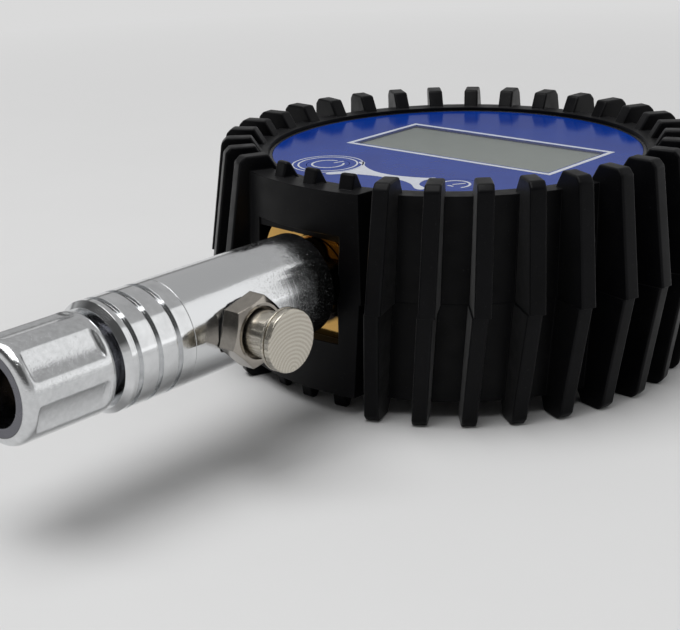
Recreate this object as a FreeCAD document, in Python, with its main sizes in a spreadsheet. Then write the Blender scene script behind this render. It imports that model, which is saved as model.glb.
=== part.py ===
import FreeCAD, Part
import math
import os
import Sketcher

# Digital tyre inflator gauge head, millimetres.
# Origin: the axis of the round gauge on the surface that the boot's ribs stand on. Z is up through the
# face, and the stem leaves along -Y.
# Along the stem, sizes count the distance from the gauge axis. Along the bleed valve, they count the
# distance from the stem's axis.

Vector = FreeCAD.Vector

SIZES = [
    # Boot
    ("boot_height", 36.1, "over the flat tops of the ribs"),
    ("boot_turn", 2.9, "degrees that the boot sits turned on the case"),
    ("rib_lean", 2.3, "degrees that the ribs lean sideways above the parting line"),
    ("rib_lean_low", 4.4, "degrees that they lean below it"),
    ("boot_wall", 2.5, "from the case to the outside of the wall between the ribs"),
    ("wall_draft", 0.3, "how much the wall draws in at each rim"),
    ("rim_inset", 2.6, "step from the rib flats to the rims, top and bottom"),
    ("lip_thick", 1.4, "lips over and under the case"),
    ("lip_reach", 4.0, "how far the lower lip covers the case"),
    ("parting_height", 17.65, "height of the mould's parting line"),
    ("rib_count", 32, "rib places round the boot"),
    ("rib_height", 6.5, "ribs beyond the wall at the parting line"),
    ("rib_top_fall", 2.5, "how much the ribs draw in towards the top"),
    ("rib_foot_fall", 2.8, "how much the ribs draw in towards the floor"),
    ("rib_corner", 0.9, "chamfer at the outer corners of the ribs"),
    ("rib_flat_start", 1.7, "inner end of the rib flats beyond the case"),
    ("rib_ramp", 1.6, "length of the inner ramp of a rib"),
    ("rib_width", 2.45, "thickness of a rib above the parting line"),
    ("rib_width_low", 2.3, "thickness of a rib below the parting line"),
    ("mould_shift", 0.3, "sideways step of the lower mould half"),
    ("mould_step", 0.25, "inward step of the lower mould half"),
    ("pad_height", 2.9, "raised pad beyond the wall"),
    ("pad_draft", 0.5, "how much the pad draws in at its top and bottom"),
    ("pad_right", 11.1, "free side of the pad from its middle rib, at the parting line"),
    ("pad_left", 13.3, "other side, which runs into a rib"),
    ("pad_top_taper", 1.1, "how much the free side draws in at the top"),
    ("pad_foot_taper", 0.4, "how much it draws in at the foot"),
    ("pad_clear_angle", 17.0, "half of the angle without full ribs"),
    ("pad_foot_rise", 0.3, "lower end of the pad above the lower rim"),
    ("pad_top_rise", 0.4, "upper end of the pad above the upper rim"),
    ("nub_reach", 0.8, "nubs over the pad, beyond the wall"),
    ("nub_fall", 0.7, "how much the nubs draw in at their tips"),
    ("window_width", 17.0, "window in the pad"),
    ("window_offset", 1.1, "middle of the window to the left of the pad's middle rib"),
    ("window_lean", 2.0, "degrees that the window's sides lean"),
    ("window_below", 9.1, "lower edge of the window below the stem's axis"),
    ("window_above", 6.1, "upper edge of the window above the stem's axis"),
    ("lintel_rise", 1.2, "shallow recess above the window"),
    ("lintel_depth", 0.35, "depth of that recess"),
    # Case
    ("case_radius", 31.0, "outer radius of the case"),
    ("case_wall", 1.8, "wall of the case"),
    ("fit_gap", 0.05, "gap between pieces that fit together"),
    ("floor_thick", 2.0, "floor of the rear case"),
    ("band_height", 3.05, "outer band of the front case"),
    ("face_drop", 3.2, "blue face below the rib flats"),
    ("face_inset", 1.55, "edge of the blue face inside the case's radius"),
    ("overlay_thick", 0.4, "blue face sheet"),
    ("panel_thick", 1.6, "panel under the sheet"),
    ("rim_rise", 0.1, "case rim above the face"),
    ("skirt_thick", 0.5, "locating skirt of the front case"),
    ("skirt_depth", 2.0, "depth of the skirt"),
    ("fitting_room", 1.2, "room beside the nut in the skirt and the board"),
    # Display
    ("display_x", 2.6, "centre of the display across the stem"),
    ("display_y", 2.2, "centre of the display along the stem"),
    ("pane_side", 12.2, "end of the clear pane inside the case's radius"),
    ("pane_edge", 23.0, "edge of the clear pane inside the case's radius"),
    ("pane_rebate", 0.7, "seat round the pane"),
    ("glass_border", 1.3, "display glass beyond the pane"),
    ("glass_thick", 1.8, "display glass"),
    ("glass_drop", 0.3, "gap from the panel down to the glass"),
    ("carrier_wall", 1.0, "frame round the glass"),
    ("strip_width", 1.6, "elastic contact strip"),
    ("strip_height", 0.9, "elastic contact strip"),
    ("strip_inset", 0.6, "strips inside the frame"),
    # Board and buttons
    ("board_room", 1.0, "gap from the board's edge to the case wall"),
    ("board_thick", 1.4, "round board"),
    ("power_inset", 8.73, "power button inside the case's radius"),
    ("power_turn", 26.1, "degrees from the stem to the power button"),
    ("unit_inset", 7.12, "unit button inside the case's radius"),
    ("unit_turn", 36.5, "degrees from the stem to the unit button"),
    ("button_radius", 3.3, "moving disc of a button"),
    ("button_stem", 1.2, "radius of a button's stem"),
    ("button_travel", 0.4, "how far a button presses"),
    ("button_gap", 0.1, "gap round the moving disc"),
    ("switch_size", 4.5, "tactile switch body"),
    ("switch_thick", 1.5, "tactile switch body"),
    ("plunger_radius", 1.0, "tip of a switch"),
    ("plunger_rise", 0.3, "tip of a switch"),
    # Batteries
    ("cell_radius", 5.2, "AAA cell"),
    ("cell_length", 43.3, "AAA cell without its tip"),
    ("cell_tip_radius", 1.9, "AAA cell tip"),
    ("cell_tip", 1.2, "AAA cell tip"),
    ("cell_gap", 0.5, "gap between the cells"),
    ("cell_room", 0.55, "gap beside the cells"),
    ("tray_y", 2.5, "centre of the battery tray along the stem"),
    ("contact_room", 2.25, "from a cell's end to the tray's end"),
    ("tray_wall", 1.2, "wall of the tray"),
    ("tray_room", 0.35, "gap above and below the cells"),
    ("contact_thick", 0.4, "contact plates"),
    ("contact_margin", 1.7, "tray beside a contact plate"),
    ("contact_height", 8.0, "contact plates"),
    ("contact_tip", 1.6, "small radius of a contact's dome"),
    ("contact_dome", 2.6, "large radius of a contact's dome"),
    ("cover_thick", 1.5, "battery cover"),
    ("cover_ledge", 1.0, "ledge that the cover rests on"),
    ("cover_tab", 3.6, "radius of the cover's screw tab"),
    ("cover_screw_offset", 3.0, "screw beyond the tray"),
    ("cover_screw_radius", 1.0, "M2 screw"),
    ("cover_screw_head", 1.9, "screw head"),
    ("cover_screw_length", 5.5, "screw beyond its head"),
    # Case screws
    ("post_inset", 4.4, "screw posts inside the case's radius"),
    ("post_back_angle", 50.5, "rear pair of posts, from the side"),
    ("post_front_angle", 36.4, "front pair of posts, from the side"),
    ("post_radius", 2.75, "posts of the rear case"),
    ("boss_radius", 2.3, "bosses of the front case"),
    ("boss_length", 4.3, "bosses below the panel"),
    ("screw_radius", 1.25, "M2.5 screw"),
    ("screw_head", 2.2, "screw head"),
    ("screw_head_height", 1.6, "screw head"),
    ("screw_sink", 3.0, "head inside the case's back"),
    ("screw_play", 0.1, "play round a screw"),
    ("screw_bite", 3.6, "screw inside its boss"),
    ("screw_end_room", 0.3, "hole beyond a screw's tip"),
    ("slot_width", 0.6, "slot in a screw head"),
    ("slot_depth", 0.7, "slot in a screw head"),
    # Fitting
    ("stem_below_board", 6.2, "stem's axis below the board"),
    ("flange_stand", 3.0, "front of the brass flange beyond the case"),
    ("flange_thick", 2.4, "brass flange"),
    ("flange_step", 3.7, "flange beyond the shank"),
    ("flange_flat", 2.6, "flat on one side of the flange, inside its radius"),
    ("ring_boss_gap", 0.15, "raised ring round the sleeve"),
    ("ring_boss_width", 1.15, "raised ring on the flange"),
    ("ring_boss_rise", 0.5, "raised ring on the flange"),
    ("shank_wall", 2.05, "wall of the shank"),
    ("shank_length", 9.0, "shank behind the flange"),
    ("inner_wall", 3.4, "wall of the end under the board"),
    ("inner_length", 9.6, "end under the board"),
    ("blind_wall", 2.0, "metal at the end of the passage"),
    ("port_from_end", 4.0, "sensor port from the inner end"),
    ("port_wall", 2.3, "metal between the passage and the sensor's flat"),
    ("port_radius", 0.8, "sensor port"),
    ("boss_wall", 1.1, "case boss round the shank"),
    ("clamp_thick", 3.35, "case between flange and nut"),
    ("nut_thick", 3.0, "nut inside the case"),
    ("nut_wall", 1.3, "nut at its flats"),
    ("neck_length", 4.3, "from the flange to the stem's shoulder"),
    ("neck_wall", 1.1, "sleeve round the thread"),
    ("seal_gap", 0.05, "gap at each side of a seal"),
    ("stem_seal_inset", 1.2, "middle of the inner seal inside the thread"),
    ("stem_seal_wire", 0.5, "inner seal"),
    ("sensor_radius", 3.0, "sensor can"),
    ("sensor_seal_radius", 1.7, "sensor seal"),
    ("sensor_seal_wire", 0.35, "sensor seal"),
    # Stem
    ("stem_radius", 7.5, "chrome stem"),
    ("stem_length", 27.3, "from the shoulder to the collar"),
    ("stem_bevel", 0.45, "bevel at the shoulder"),
    ("stem_thread", 4.9, "inner end of the stem"),
    ("thread_length", 8.8, "inner end behind the flange's face"),
    ("passage", 2.0, "radius of the air passage"),
    ("chamber", 4.0, "radius of the valve chamber"),
    ("chamber_lead", 6.4, "valve chamber ahead of the valve"),
    # Bleed valve
    ("valve_from_start", 18.6, "valve beyond the stem's shoulder"),
    ("valve_thread", 3.35, "radius of the valve body in the stem"),
    ("valve_seat_cut", 0.4, "depth of the flat under the hexagon"),
    ("valve_spotface", 4.7, "radius of that flat"),
    ("seat_washer", 0.5, "room for the washer under the hexagon"),
    ("washer_gap", 0.1, "washer round the thread"),
    ("washer_width", 0.8, "washer under the hexagon"),
    ("hex_wall", 0.75, "hexagon outside its recess"),
    ("hex_height", 3.1, "height of the hexagon"),
    ("hex_turn", 15.0, "turn of the hexagon"),
    ("hex_chamfer", 0.5, "chamfer of the hexagon's corners"),
    ("recess_lift", 0.3, "floor of the recess above the hexagon's underside"),
    ("body_stand", 0.2, "valve body's inner end off the chamber"),
    ("air_gap", 0.6, "air gap round the pin"),
    ("pin_radius", 0.9, "pin of the plunger"),
    ("barrel_radius", 3.2, "barrel of the plunger"),
    ("barrel_play", 0.4, "recess round the barrel"),
    ("barrel_length", 4.1, "length of the barrel"),
    ("barrel_wall", 0.75, "wall of the barrel"),
    ("barrel_roof", 0.6, "end of the barrel over the spring"),
    ("press_travel", 2.0, "how far the disc presses"),
    ("press_room", 0.2, "gap left under the barrel when pressed"),
    ("disc_neck", 0.4, "groove under the disc"),
    ("disc_neck_depth", 0.3, "groove under the disc"),
    ("disc_radius", 4.3, "press disc"),
    ("disc_thick", 1.6, "press disc"),
    ("disc_groove_at", 0.4, "groove round the disc from its underside"),
    ("disc_groove_width", 0.25, "groove round the disc"),
    ("disc_groove_depth", 0.3, "groove round the disc"),
    ("disc_bevel", 0.15, "edge of the disc"),
    ("poppet_step", 0.7, "poppet beyond the air hole"),
    ("poppet_length", 1.4, "length of the poppet"),
    ("poppet_seal_thick", 0.6, "room for the poppet's seal"),
    ("poppet_seal_inset", 0.1, "seal inside the poppet's edge"),
    ("spring_play", 0.35, "gap round the spring"),
    ("spring_wire", 0.2, "radius of the spring wire"),
    ("spring_turns", 6, "turns of the spring"),
    # Collar and swivel
    ("collar_length", 11.4, "length of the collar"),
    ("collar_wall", 1.5, "wall of the collar"),
    ("groove_first", 2.75, "middle of the first groove from the joint"),
    ("groove_pitch", 3.35, "distance between the grooves"),
    ("groove_width", 0.85, "width of a groove"),
    ("groove_depth", 0.45, "depth of a groove"),
    ("collar_bevel", 0.8, "end chamfer"),
    ("stem_end_depth", 3.4, "stem's end inside the collar"),
    ("flange_play", 0.2, "play round the spigot's flange"),
    ("spigot_flange_thick", 2.0, "flange of the spigot"),
    ("swivel_gap", 0.2, "play ahead of and behind the flange"),
    ("swivel_washer", 0.5, "swivel washer"),
    ("shoulder_step", 1.0, "flange beyond the spigot's neck"),
    ("running_gap", 0.06, "radial running gap"),
    ("nose_length", 4.8, "spigot ahead of its flange"),
    ("nose_seal_first", 1.2, "first seal from the tip"),
    ("nose_seal_pitch", 2.0, "distance between the seals"),
    ("nose_seal_wire", 0.5, "wire radius of a nose seal"),
    ("undercut_length", 0.9, "dark neck between collar and grip"),
    ("grip_length", 14.0, "length of the grip"),
    ("grip_wall", 1.35, "wall of the grip"),
    ("grip_round", 1.2, "rounding at the grip's ends"),
    ("grip_seat", 1.3, "where the spigot widens inside the grip"),
    ("scoop_count", 6, "scoops round the grip"),
    ("scoop_radius", 8.0, "radius of the scoop cutter"),
    ("scoop_depth", 0.65, "depth of a scoop"),
    ("scoop_margin", 1.35, "metal beyond a scoop's ends"),
    ("scoop_corner", 0.6, "rounding at a scoop's ends"),
    ("scoop_turn", 38.5, "angle of the first scoop from the side"),
    ("hose_thread", 4.3, "hose thread, G 1/8 core radius"),
    ("hose_wall", 1.2, "spigot round the hose thread"),
    ("hose_thread_depth", 6.8, "depth of the hose thread"),
    ("inlet_seat_step", 0.2, "seat of filter and seal inside the thread's radius"),
    ("inlet_seat_room", 0.1, "gap between the flat seal and the thread"),
    ("filter_thick", 0.5, "filter disc"),
    ("inlet_washer_thick", 1.0, "flat seal in the inlet"),
    ("inlet_washer_width", 1.65, "flat seal in the inlet"),
]


# A size with its number and its spreadsheet expression, so that sketches can be
# drawn near their final shape and then bound to the sheet
class Term:
    def __init__(self, number, text):
        self.number = float(number)
        self.text = text

    def join(self, other, sign, number):
        return Term(number, "(" + self.text + " " + sign + " " + other.text + ")")

    def __add__(self, other):
        other = term(other)
        return self.join(other, "+", self.number + other.number)

    def __sub__(self, other):
        other = term(other)
        return self.join(other, "-", self.number - other.number)

    def __mul__(self, other):
        other = term(other)
        return self.join(other, "*", self.number * other.number)

    def __truediv__(self, other):
        other = term(other)
        return self.join(other, "/", self.number / other.number)

    def __neg__(self):
        return Term(-self.number, "(0 - " + self.text + ")")


def term(value):
    return value if isinstance(value, Term) else Term(value, repr(float(value)))


def cosine(angle):
    return Term(math.cos(math.radians(angle.number)), "cos(" + angle.text + ")")


def sine(angle):
    return Term(math.sin(math.radians(angle.number)), "sin(" + angle.text + ")")


def slope(angle):
    return Term(math.tan(math.radians(angle.number)), "tan(" + angle.text + ")")


document = FreeCAD.newDocument("inflator_gauge")
sheet = document.addObject("Spreadsheet::Sheet", "sizes")


class Sizes:
    pass


d = Sizes()
for row, (name, value, note) in enumerate(SIZES, start=1):
    sheet.set("A%d" % row, name)
    sheet.set("B%d" % row, str(value))
    sheet.set("C%d" % row, note)
    sheet.setAlias("B%d" % row, name)
document.recompute()
for name, _, _ in SIZES:
    setattr(d, name, Term(getattr(sheet, name), "sizes." + name))

ZERO = term(0)
CORNER = Term(2 / 3 ** 0.5, "(2 / sqrt(3))")
UP = FreeCAD.Rotation()
ALONG_STEM = FreeCAD.Rotation(Vector(1, 0, 0), 90)
ALONG_X = FreeCAD.Rotation(Vector(0, 1, 0), 90)

# Boot: radii and heights
wall_outer = d.case_radius + d.boot_wall
wall_inner = d.case_radius + d.fit_gap
rib_kink = wall_outer + d.rib_height
rib_top_radius = rib_kink - d.rib_top_fall
rib_foot_radius = rib_kink - d.rib_foot_fall
rib_flat_inner = d.case_radius + d.rib_flat_start
ramp_foot = rib_flat_inner - d.rib_ramp
pad_radius = wall_outer + d.pad_height
nub_radius = wall_outer + d.nub_reach
rim_low = d.rim_inset
rim_high = d.boot_height - d.rim_inset
case_low = rim_low + d.lip_thick + d.fit_gap
ledge_high = rim_high - d.lip_thick - d.fit_gap

# Case, face, display and board: heights from the face down
split_height = ledge_high - d.band_height
face_height = d.boot_height - d.face_drop
panel_high = face_height - d.overlay_thick
panel_low = panel_high - d.panel_thick
glass_high = panel_low - d.glass_drop
glass_low = glass_high - d.glass_thick
board_top = glass_low - d.strip_height - d.fit_gap * 2
board_low = board_top - d.board_thick
stem_height = board_low - d.stem_below_board
case_inner = d.case_radius - d.case_wall
face_radius = d.case_radius - d.face_inset
inner_rim = face_radius + d.fit_gap
outer_rim = inner_rim + d.skirt_thick
floor_top = case_low + d.floor_thick

# Along the stem, from the gauge's axis
flange_face = d.case_radius + d.flange_stand
flange_back = flange_face - d.flange_thick
boss_face = flange_back - d.fit_gap
boss_inner = boss_face - d.clamp_thick
shank_end = flange_back - d.shank_length
inner_end = shank_end - d.inner_length
port_at = inner_end + d.port_from_end
stem_start = flange_face + d.neck_length
thread_end = flange_face - d.thread_length
valve_at = stem_start + d.valve_from_start
chamber_start = valve_at - d.chamber_lead
stem_end = stem_start + d.stem_length
collar_seat = stem_end + d.stem_end_depth
collar_end = stem_end + d.collar_length
grip_start = collar_end + d.undercut_length
grip_end = grip_start + d.grip_length

# Round the stem's axis
thread_bore = d.stem_thread + d.fit_gap
shank_radius = thread_bore + d.shank_wall
flange_radius = shank_radius + d.flange_step
neck_radius = d.stem_thread + d.neck_wall
ring_inner = neck_radius + d.ring_boss_gap
ring_outer = ring_inner + d.ring_boss_width
nut_corner = (shank_radius + d.nut_wall) * CORNER
collar_thread = d.stem_radius - d.collar_wall
spigot_flange = collar_thread - d.flange_play
spigot_neck = spigot_flange - d.shoulder_step
grip_bore = d.hose_thread + d.hose_wall
grip_radius = grip_bore + d.grip_wall

pieces = {}


def bind(thing, path, value):
    thing.setExpression(path, term(value).text)


def put(thing, at, turn=UP):
    thing.Placement = FreeCAD.Placement(Vector(*[term(v).number for v in at]), turn)
    for axis, value in zip("xyz", at):
        bind(thing, "Placement.Base." + axis, value)


def keep(node, thing):
    thing.Label = node
    pieces[node] = thing
    return thing


def upright(x=ZERO, y=ZERO, z=ZERO):
    return (x, y, z), UP


def sideways(x, y, z):
    return (x, y, z), ALONG_X


def on_stem(start=ZERO):
    return (ZERO, -term(start), stem_height), ALONG_STEM


def on_valve(start=ZERO):
    return (start, -valve_at, stem_height), ALONG_X


def cylinder(name, radius, length, place):
    rod = document.addObject("Part::Cylinder", name)
    bind(rod, "Radius", radius)
    bind(rod, "Height", length)
    put(rod, *place)
    return rod


def box(name, low, high):
    block = document.addObject("Part::Box", name)
    for side, a, b in zip(("Length", "Width", "Height"), low, high):
        bind(block, side, term(b) - a)
    put(block, low)
    return block


# A box centred on (x, y)
def about(name, x, y, size_x, size_y, low, high):
    return box(name, (x - size_x / 2, y - size_y / 2, low), (x + size_x / 2, y + size_y / 2, high))


def hexagon(name, corner, length, place):
    prism = document.addObject("Part::Prism", name)
    prism.Polygon = 6
    bind(prism, "Circumradius", corner)
    bind(prism, "Height", length)
    put(prism, *place)
    return prism


def fuse(name, *shapes):
    result = document.addObject("Part::MultiFuse", name)
    result.Shapes = list(shapes)
    return result


def common(name, *shapes):
    result = document.addObject("Part::MultiCommon", name)
    result.Shapes = list(shapes)
    return result


def cut(name, base, *tools):
    result = document.addObject("Part::Cut", name)
    result.Base = base
    result.Tool = tools[0] if len(tools) == 1 else fuse(name + "_tools", *tools)
    return result


def plane(body, role):
    return [f for f in body.Origin.OriginFeatures if f.Role == role][0]


# A closed outline whose corners are bound to the sheet, on one of the body's planes
def draw(body, name, points, role="XZ_Plane"):
    sketch = body.newObject("Sketcher::SketchObject", name)
    sketch.AttachmentSupport = [(plane(body, role), "")]
    sketch.MapMode = "FlatFace"
    corners = [(term(x), term(y)) for x, y in points]
    count = len(corners)
    for i, start in enumerate(corners):
        end = corners[(i + 1) % count]
        ends = [Vector(x.number, y.number, 0) for x, y in (start, end)]
        sketch.addGeometry(Part.LineSegment(*ends), False)
    for i in range(count):
        sketch.addConstraint(Sketcher.Constraint("Coincident", i, 2, (i + 1) % count, 1))
    for i, corner in enumerate(corners):
        for kind, value in zip(("DistanceX", "DistanceY"), corner):
            made = sketch.addConstraint(Sketcher.Constraint(kind, -1, 1, i, 1, value.number))
            bind(sketch, "Constraints[%d]" % made, value)
    sketch.Visibility = False
    return sketch


def revolve(body, name, points, kind="PartDesign::Revolution", angle=None):
    sketch = draw(body, name + "_outline", points)
    turn = body.newObject(kind, name)
    turn.Profile = sketch
    turn.ReferenceAxis = (sketch, ["V_Axis"])
    if angle is None:
        turn.Angle = 360
    else:
        turn.Midplane = True
        bind(turn, "Angle", angle)
    return turn


# A turned piece: the outline is a list of (radius, distance along the axis)
def turned(name, points, place):
    body = document.addObject("PartDesign::Body", name)
    revolve(body, name + "_turn", points)
    put(body, *place)
    return body


def ring(name, inner, outer, low, high, place):
    return turned(name, [(inner, low), (outer, low), (outer, high), (inner, high)], place)


def torus(name, radius, wire, place):
    seal = document.addObject("Part::Torus", name)
    bind(seal, "Radius1", radius)
    bind(seal, "Radius2", wire)
    put(seal, *place)
    return seal


# Boot. Drawn with the stem's direction along its own X axis, then turned onto the case
wall_rim = wall_outer - d.wall_draft
lip_opening = outer_rim + d.fit_gap * 4
boot = document.addObject("PartDesign::Body", "boot_moulding")
revolve(boot, "boot_shell", [
    (d.case_radius - d.lip_reach, rim_low),
    (wall_rim, rim_low),
    (wall_outer, d.parting_height),
    (wall_rim, rim_high),
    (lip_opening, rim_high),
    (lip_opening, rim_high - d.lip_thick),
    (wall_inner, rim_high - d.lip_thick),
    (wall_inner, rim_low + d.lip_thick),
    (d.case_radius - d.lip_reach, rim_low + d.lip_thick),
])

# Ribs in two mould halves that meet with a small step at the parting line and lean from there, so
# their outlines are drawn on tilted planes that count heights from that line
rib_root = wall_inner + d.boot_wall / 2
lip_half = d.lip_thick / 2
upper_outline = [
    (rib_root, d.parting_height),
    (rib_kink, d.parting_height),
    (rib_top_radius, d.boot_height - d.rib_corner),
    (rib_top_radius - d.rib_corner, d.boot_height),
    (rib_flat_inner, d.boot_height),
    (ramp_foot, rim_high),
    (ramp_foot, rim_high - lip_half),
    (rib_root, rim_high - lip_half),
]
lower_outline = [
    (rib_root, rim_low + lip_half),
    (ramp_foot, rim_low + lip_half),
    (ramp_foot, rim_low),
    (rib_flat_inner, ZERO),
    (rib_foot_radius - d.rib_corner, ZERO),
    (rib_foot_radius, d.rib_corner),
    (rib_kink - d.mould_step, d.parting_height),
    (rib_root, d.parting_height),
]
halves = (("rib_upper", upper_outline, d.rib_lean, ZERO, d.rib_width),
          ("rib_lower", lower_outline, d.rib_lean_low, d.mould_shift, d.rib_width_low))
rib_pads = []
for name, outline, lean, shift, width in halves:
    tilted = draw(boot, name + "_outline", [(x, (z - d.parting_height) / cosine(lean)) for x, z in outline])
    tilted.AttachmentOffset = FreeCAD.Placement(Vector(), FreeCAD.Rotation(Vector(-1, 0, 0), lean.number))
    bind(tilted, "AttachmentOffset.Rotation.Angle", lean)
    bind(tilted, "AttachmentOffset.Base.y", d.parting_height)
    bind(tilted, "AttachmentOffset.Base.z", shift)
    pad = boot.newObject("PartDesign::Pad", name)
    pad.Profile = tilted
    pad.UseCustomVector = True
    pad.Direction = Vector(0, 1, 0)
    pad.AlongSketchNormal = False
    pad.Midplane = True
    bind(pad, "Length", width)
    rib_pads.append(pad)
ribs = boot.newObject("PartDesign::PolarPattern", "ribs")
ribs.Originals = rib_pads
ribs.Axis = (plane(boot, "Z_Axis"), [""])
ribs.Angle = 360
bind(ribs, "Occurrences", d.rib_count)
boot.Tip = ribs

# At the stem the ribs stop short as nubs, and the raised pad stands there instead
beyond = rib_kink + d.rib_width
nub_end = nub_radius - d.nub_fall - d.nub_fall / d.rim_inset * d.rib_width
clearing = revolve(boot, "pad_clearing", [
    (nub_end, -d.rib_width),
    (beyond, -d.rib_width),
    (beyond, d.boot_height + d.rib_width),
    (nub_end, d.boot_height + d.rib_width),
    (nub_radius, rim_high),
    (nub_radius, rim_low),
], "PartDesign::Groove", d.pad_clear_angle * 2)
boot.Tip = clearing


# A flat outline across the stem's direction, carried from the gauge's axis to beyond the ribs
def prism(name, points):
    body = document.addObject("PartDesign::Body", name)
    block = body.newObject("PartDesign::Pad", name + "_block")
    block.Profile = draw(body, name + "_outline", points, "YZ_Plane")
    bind(block, "Length", beyond)
    return body


pad_low = rim_low + d.pad_foot_rise
pad_high = rim_high + d.pad_top_rise
pad_ring = turned("pad_ring", [
    (rib_root, pad_low),
    (pad_radius - d.pad_draft, pad_low),
    (pad_radius, d.parting_height),
    (pad_radius - d.pad_draft, pad_high),
    (rib_root, pad_high),
], upright())
sway_high = (pad_high - d.parting_height) * slope(d.rib_lean)
sway_low = d.mould_shift + (d.parting_height - pad_low) * slope(d.rib_lean_low)
pad_sides = prism("pad_sides", [
    (-d.pad_left - sway_low, pad_low),
    (d.pad_right - sway_low - d.pad_foot_taper, pad_low),
    (d.pad_right - d.mould_shift, d.parting_height),
    (d.pad_right, d.parting_height),
    (d.pad_right + sway_high - d.pad_top_taper, pad_high),
    (sway_high - d.pad_left, pad_high),
    (-d.pad_left, d.parting_height),
    (-d.pad_left - d.mould_shift, d.parting_height),
])
padded = fuse("boot_padded", boot, common("raised_pad", pad_ring, pad_sides))

# The window goes straight through under a shallow recess
window_low = stem_height - d.window_below
window_high = stem_height + d.window_above
window_left = -d.window_offset - d.window_width / 2
window_right = window_left + d.window_width
window_sway = (window_high - window_low) / 2 * slope(d.window_lean)
window = prism("boot_window", [
    (window_left - window_sway, window_low),
    (window_right - window_sway, window_low),
    (window_right + window_sway, window_high),
    (window_left + window_sway, window_high),
])
lintel_floor = pad_radius - d.pad_draft - d.lintel_depth
lintel_low = window_high - d.lintel_rise
lintel_high = window_high + d.lintel_rise
lintel = common("lintel", ring("lintel_ring", lintel_floor, beyond, lintel_low, lintel_high, upright()),
                box("lintel_ends", (ZERO, window_left + window_sway, lintel_low),
                    (beyond, window_right + window_sway, lintel_high)))
opened = cut("boot_opened", padded, window, lintel)
opened.Placement = FreeCAD.Placement(Vector(), FreeCAD.Rotation(Vector(0, 0, -1), 90 + d.boot_turn.number))
bind(opened, "Placement.Rotation.Angle", d.boot_turn + 90)

# The pocket behind it takes the brass flange with its flat
pocket_start = d.case_radius - d.lip_reach
flange_side = flange_radius - d.flange_flat
flange_room = cylinder("flange_room", flange_radius + d.fit_gap * 2,
                       flange_face + d.fit_gap - pocket_start, on_stem(pocket_start))
flange_key = box("flange_key", (flange_side + d.fit_gap * 2, -flange_face * 2, ZERO),
                 (flange_radius * 2, ZERO, d.boot_height))
flange_pocket = cut("flange_pocket", flange_room, flange_key)
ring_pocket = cylinder("ring_pocket", ring_outer + d.fit_gap * 2,
                       flange_face + d.ring_boss_rise + d.fit_gap - pocket_start, on_stem(pocket_start))
sleeve_room = cylinder("sleeve_room", neck_radius + d.fit_gap * 2, beyond, on_stem())
keep("rubber_boot", cut("rubber_boot", opened, flange_pocket, ring_pocket, sleeve_room))

# Screw posts on two circles' worth of angles, the same for rear case, front case and board
post_circle = d.case_radius - d.post_inset
post_places = []
for side, angle, way in ((1, d.post_back_angle, 1), (-1, d.post_back_angle, 1),
                         (-1, d.post_front_angle, -1), (1, d.post_front_angle, -1)):
    post_places.append((post_circle * cosine(angle) * side, post_circle * sine(angle) * way))
boss_low = panel_low - d.boss_length
screw_seat = case_low + d.screw_sink + d.screw_head_height
screw_tip = boss_low + d.screw_bite

# Rear case: a cup with the stem boss, the battery tray and four screw posts
cup = turned("rear_cup", [
    (ZERO, case_low),
    (d.case_radius, case_low),
    (d.case_radius, split_height),
    (case_inner, split_height),
    (case_inner, floor_top),
    (ZERO, floor_top),
], upright())
stem_boss = cylinder("stem_boss", shank_radius + d.boss_wall, d.clamp_thick, on_stem(boss_inner))
shank_hole = cylinder("shank_hole", shank_radius + d.fit_gap, flange_face - inner_end, on_stem(inner_end))
nut_bed = cylinder("nut_bed", nut_corner + d.fit_gap * 2, d.nut_thick * 2,
                   on_stem(boss_inner - d.nut_thick * 2))

cover_high = case_low + d.cover_thick
cell_height = cover_high + d.tray_room + d.cell_radius
tray_roof = cell_height + d.cell_radius + d.tray_room
cell_half = (d.cell_length + d.cell_tip) / 2
cell_offset = d.cell_radius + d.cell_gap / 2
tray_half_x = cell_half + d.contact_room
tray_half_y = cell_offset + d.cell_radius + d.cell_room
tray_front = d.tray_y - tray_half_y
tray_back = d.tray_y + tray_half_y


def tray_box(name, grow, low, high):
    half_x = tray_half_x + grow
    return box(name, (-half_x, tray_front - grow, low), (half_x, tray_back + grow, high))


tray_shell = common(
    "tray_shell",
    tray_box("tray_block", d.tray_wall, case_low, tray_roof + d.tray_wall),
    cylinder("tray_limit", d.case_radius - d.case_wall / 2, split_height, upright()),
)
rebate_top = cover_high + d.fit_gap
tray_inside = tray_box("tray_inside", ZERO, floor_top - d.floor_thick / 4, tray_roof)
cell_mouth = tray_box("cell_mouth", -d.cover_ledge, ZERO, tray_roof)
cover_bed = tray_box("cover_bed", ZERO, ZERO, rebate_top)
cover_screw_y = tray_back + d.cover_screw_offset
tab_bed = cylinder("tab_bed", d.cover_tab, rebate_top, upright(ZERO, cover_screw_y))
bridge_bed = box("bridge_bed", (-d.cover_tab, tray_back - d.cover_ledge, ZERO),
                 (d.cover_tab, cover_screw_y, rebate_top))
cover_head_top = case_low + d.cover_thick / 2
cover_screw_tip = cover_head_top + d.cover_screw_length
cover_post = cylinder("cover_post", d.cover_tab, cover_screw_tip + d.tray_wall - rebate_top,
                      upright(ZERO, cover_screw_y, rebate_top))
cover_hole = cylinder("cover_hole", d.cover_screw_radius + d.fit_gap, cover_screw_tip + d.screw_end_room,
                      upright(ZERO, cover_screw_y))
posts = []
post_tools = []
for i, (x, y) in enumerate(post_places, start=1):
    posts.append(cylinder("post_%d" % i, d.post_radius, boss_low - d.fit_gap - case_low,
                          upright(x, y, case_low)))
    post_tools.append(cylinder("post_hole_%d" % i, d.screw_radius + d.screw_play, split_height,
                               upright(x, y)))
    post_tools.append(cylinder("post_sink_%d" % i, d.screw_head + d.screw_play, screw_seat, upright(x, y)))
rear_solid = fuse("rear_solid", cup, stem_boss, tray_shell, cover_post, *posts)
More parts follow.
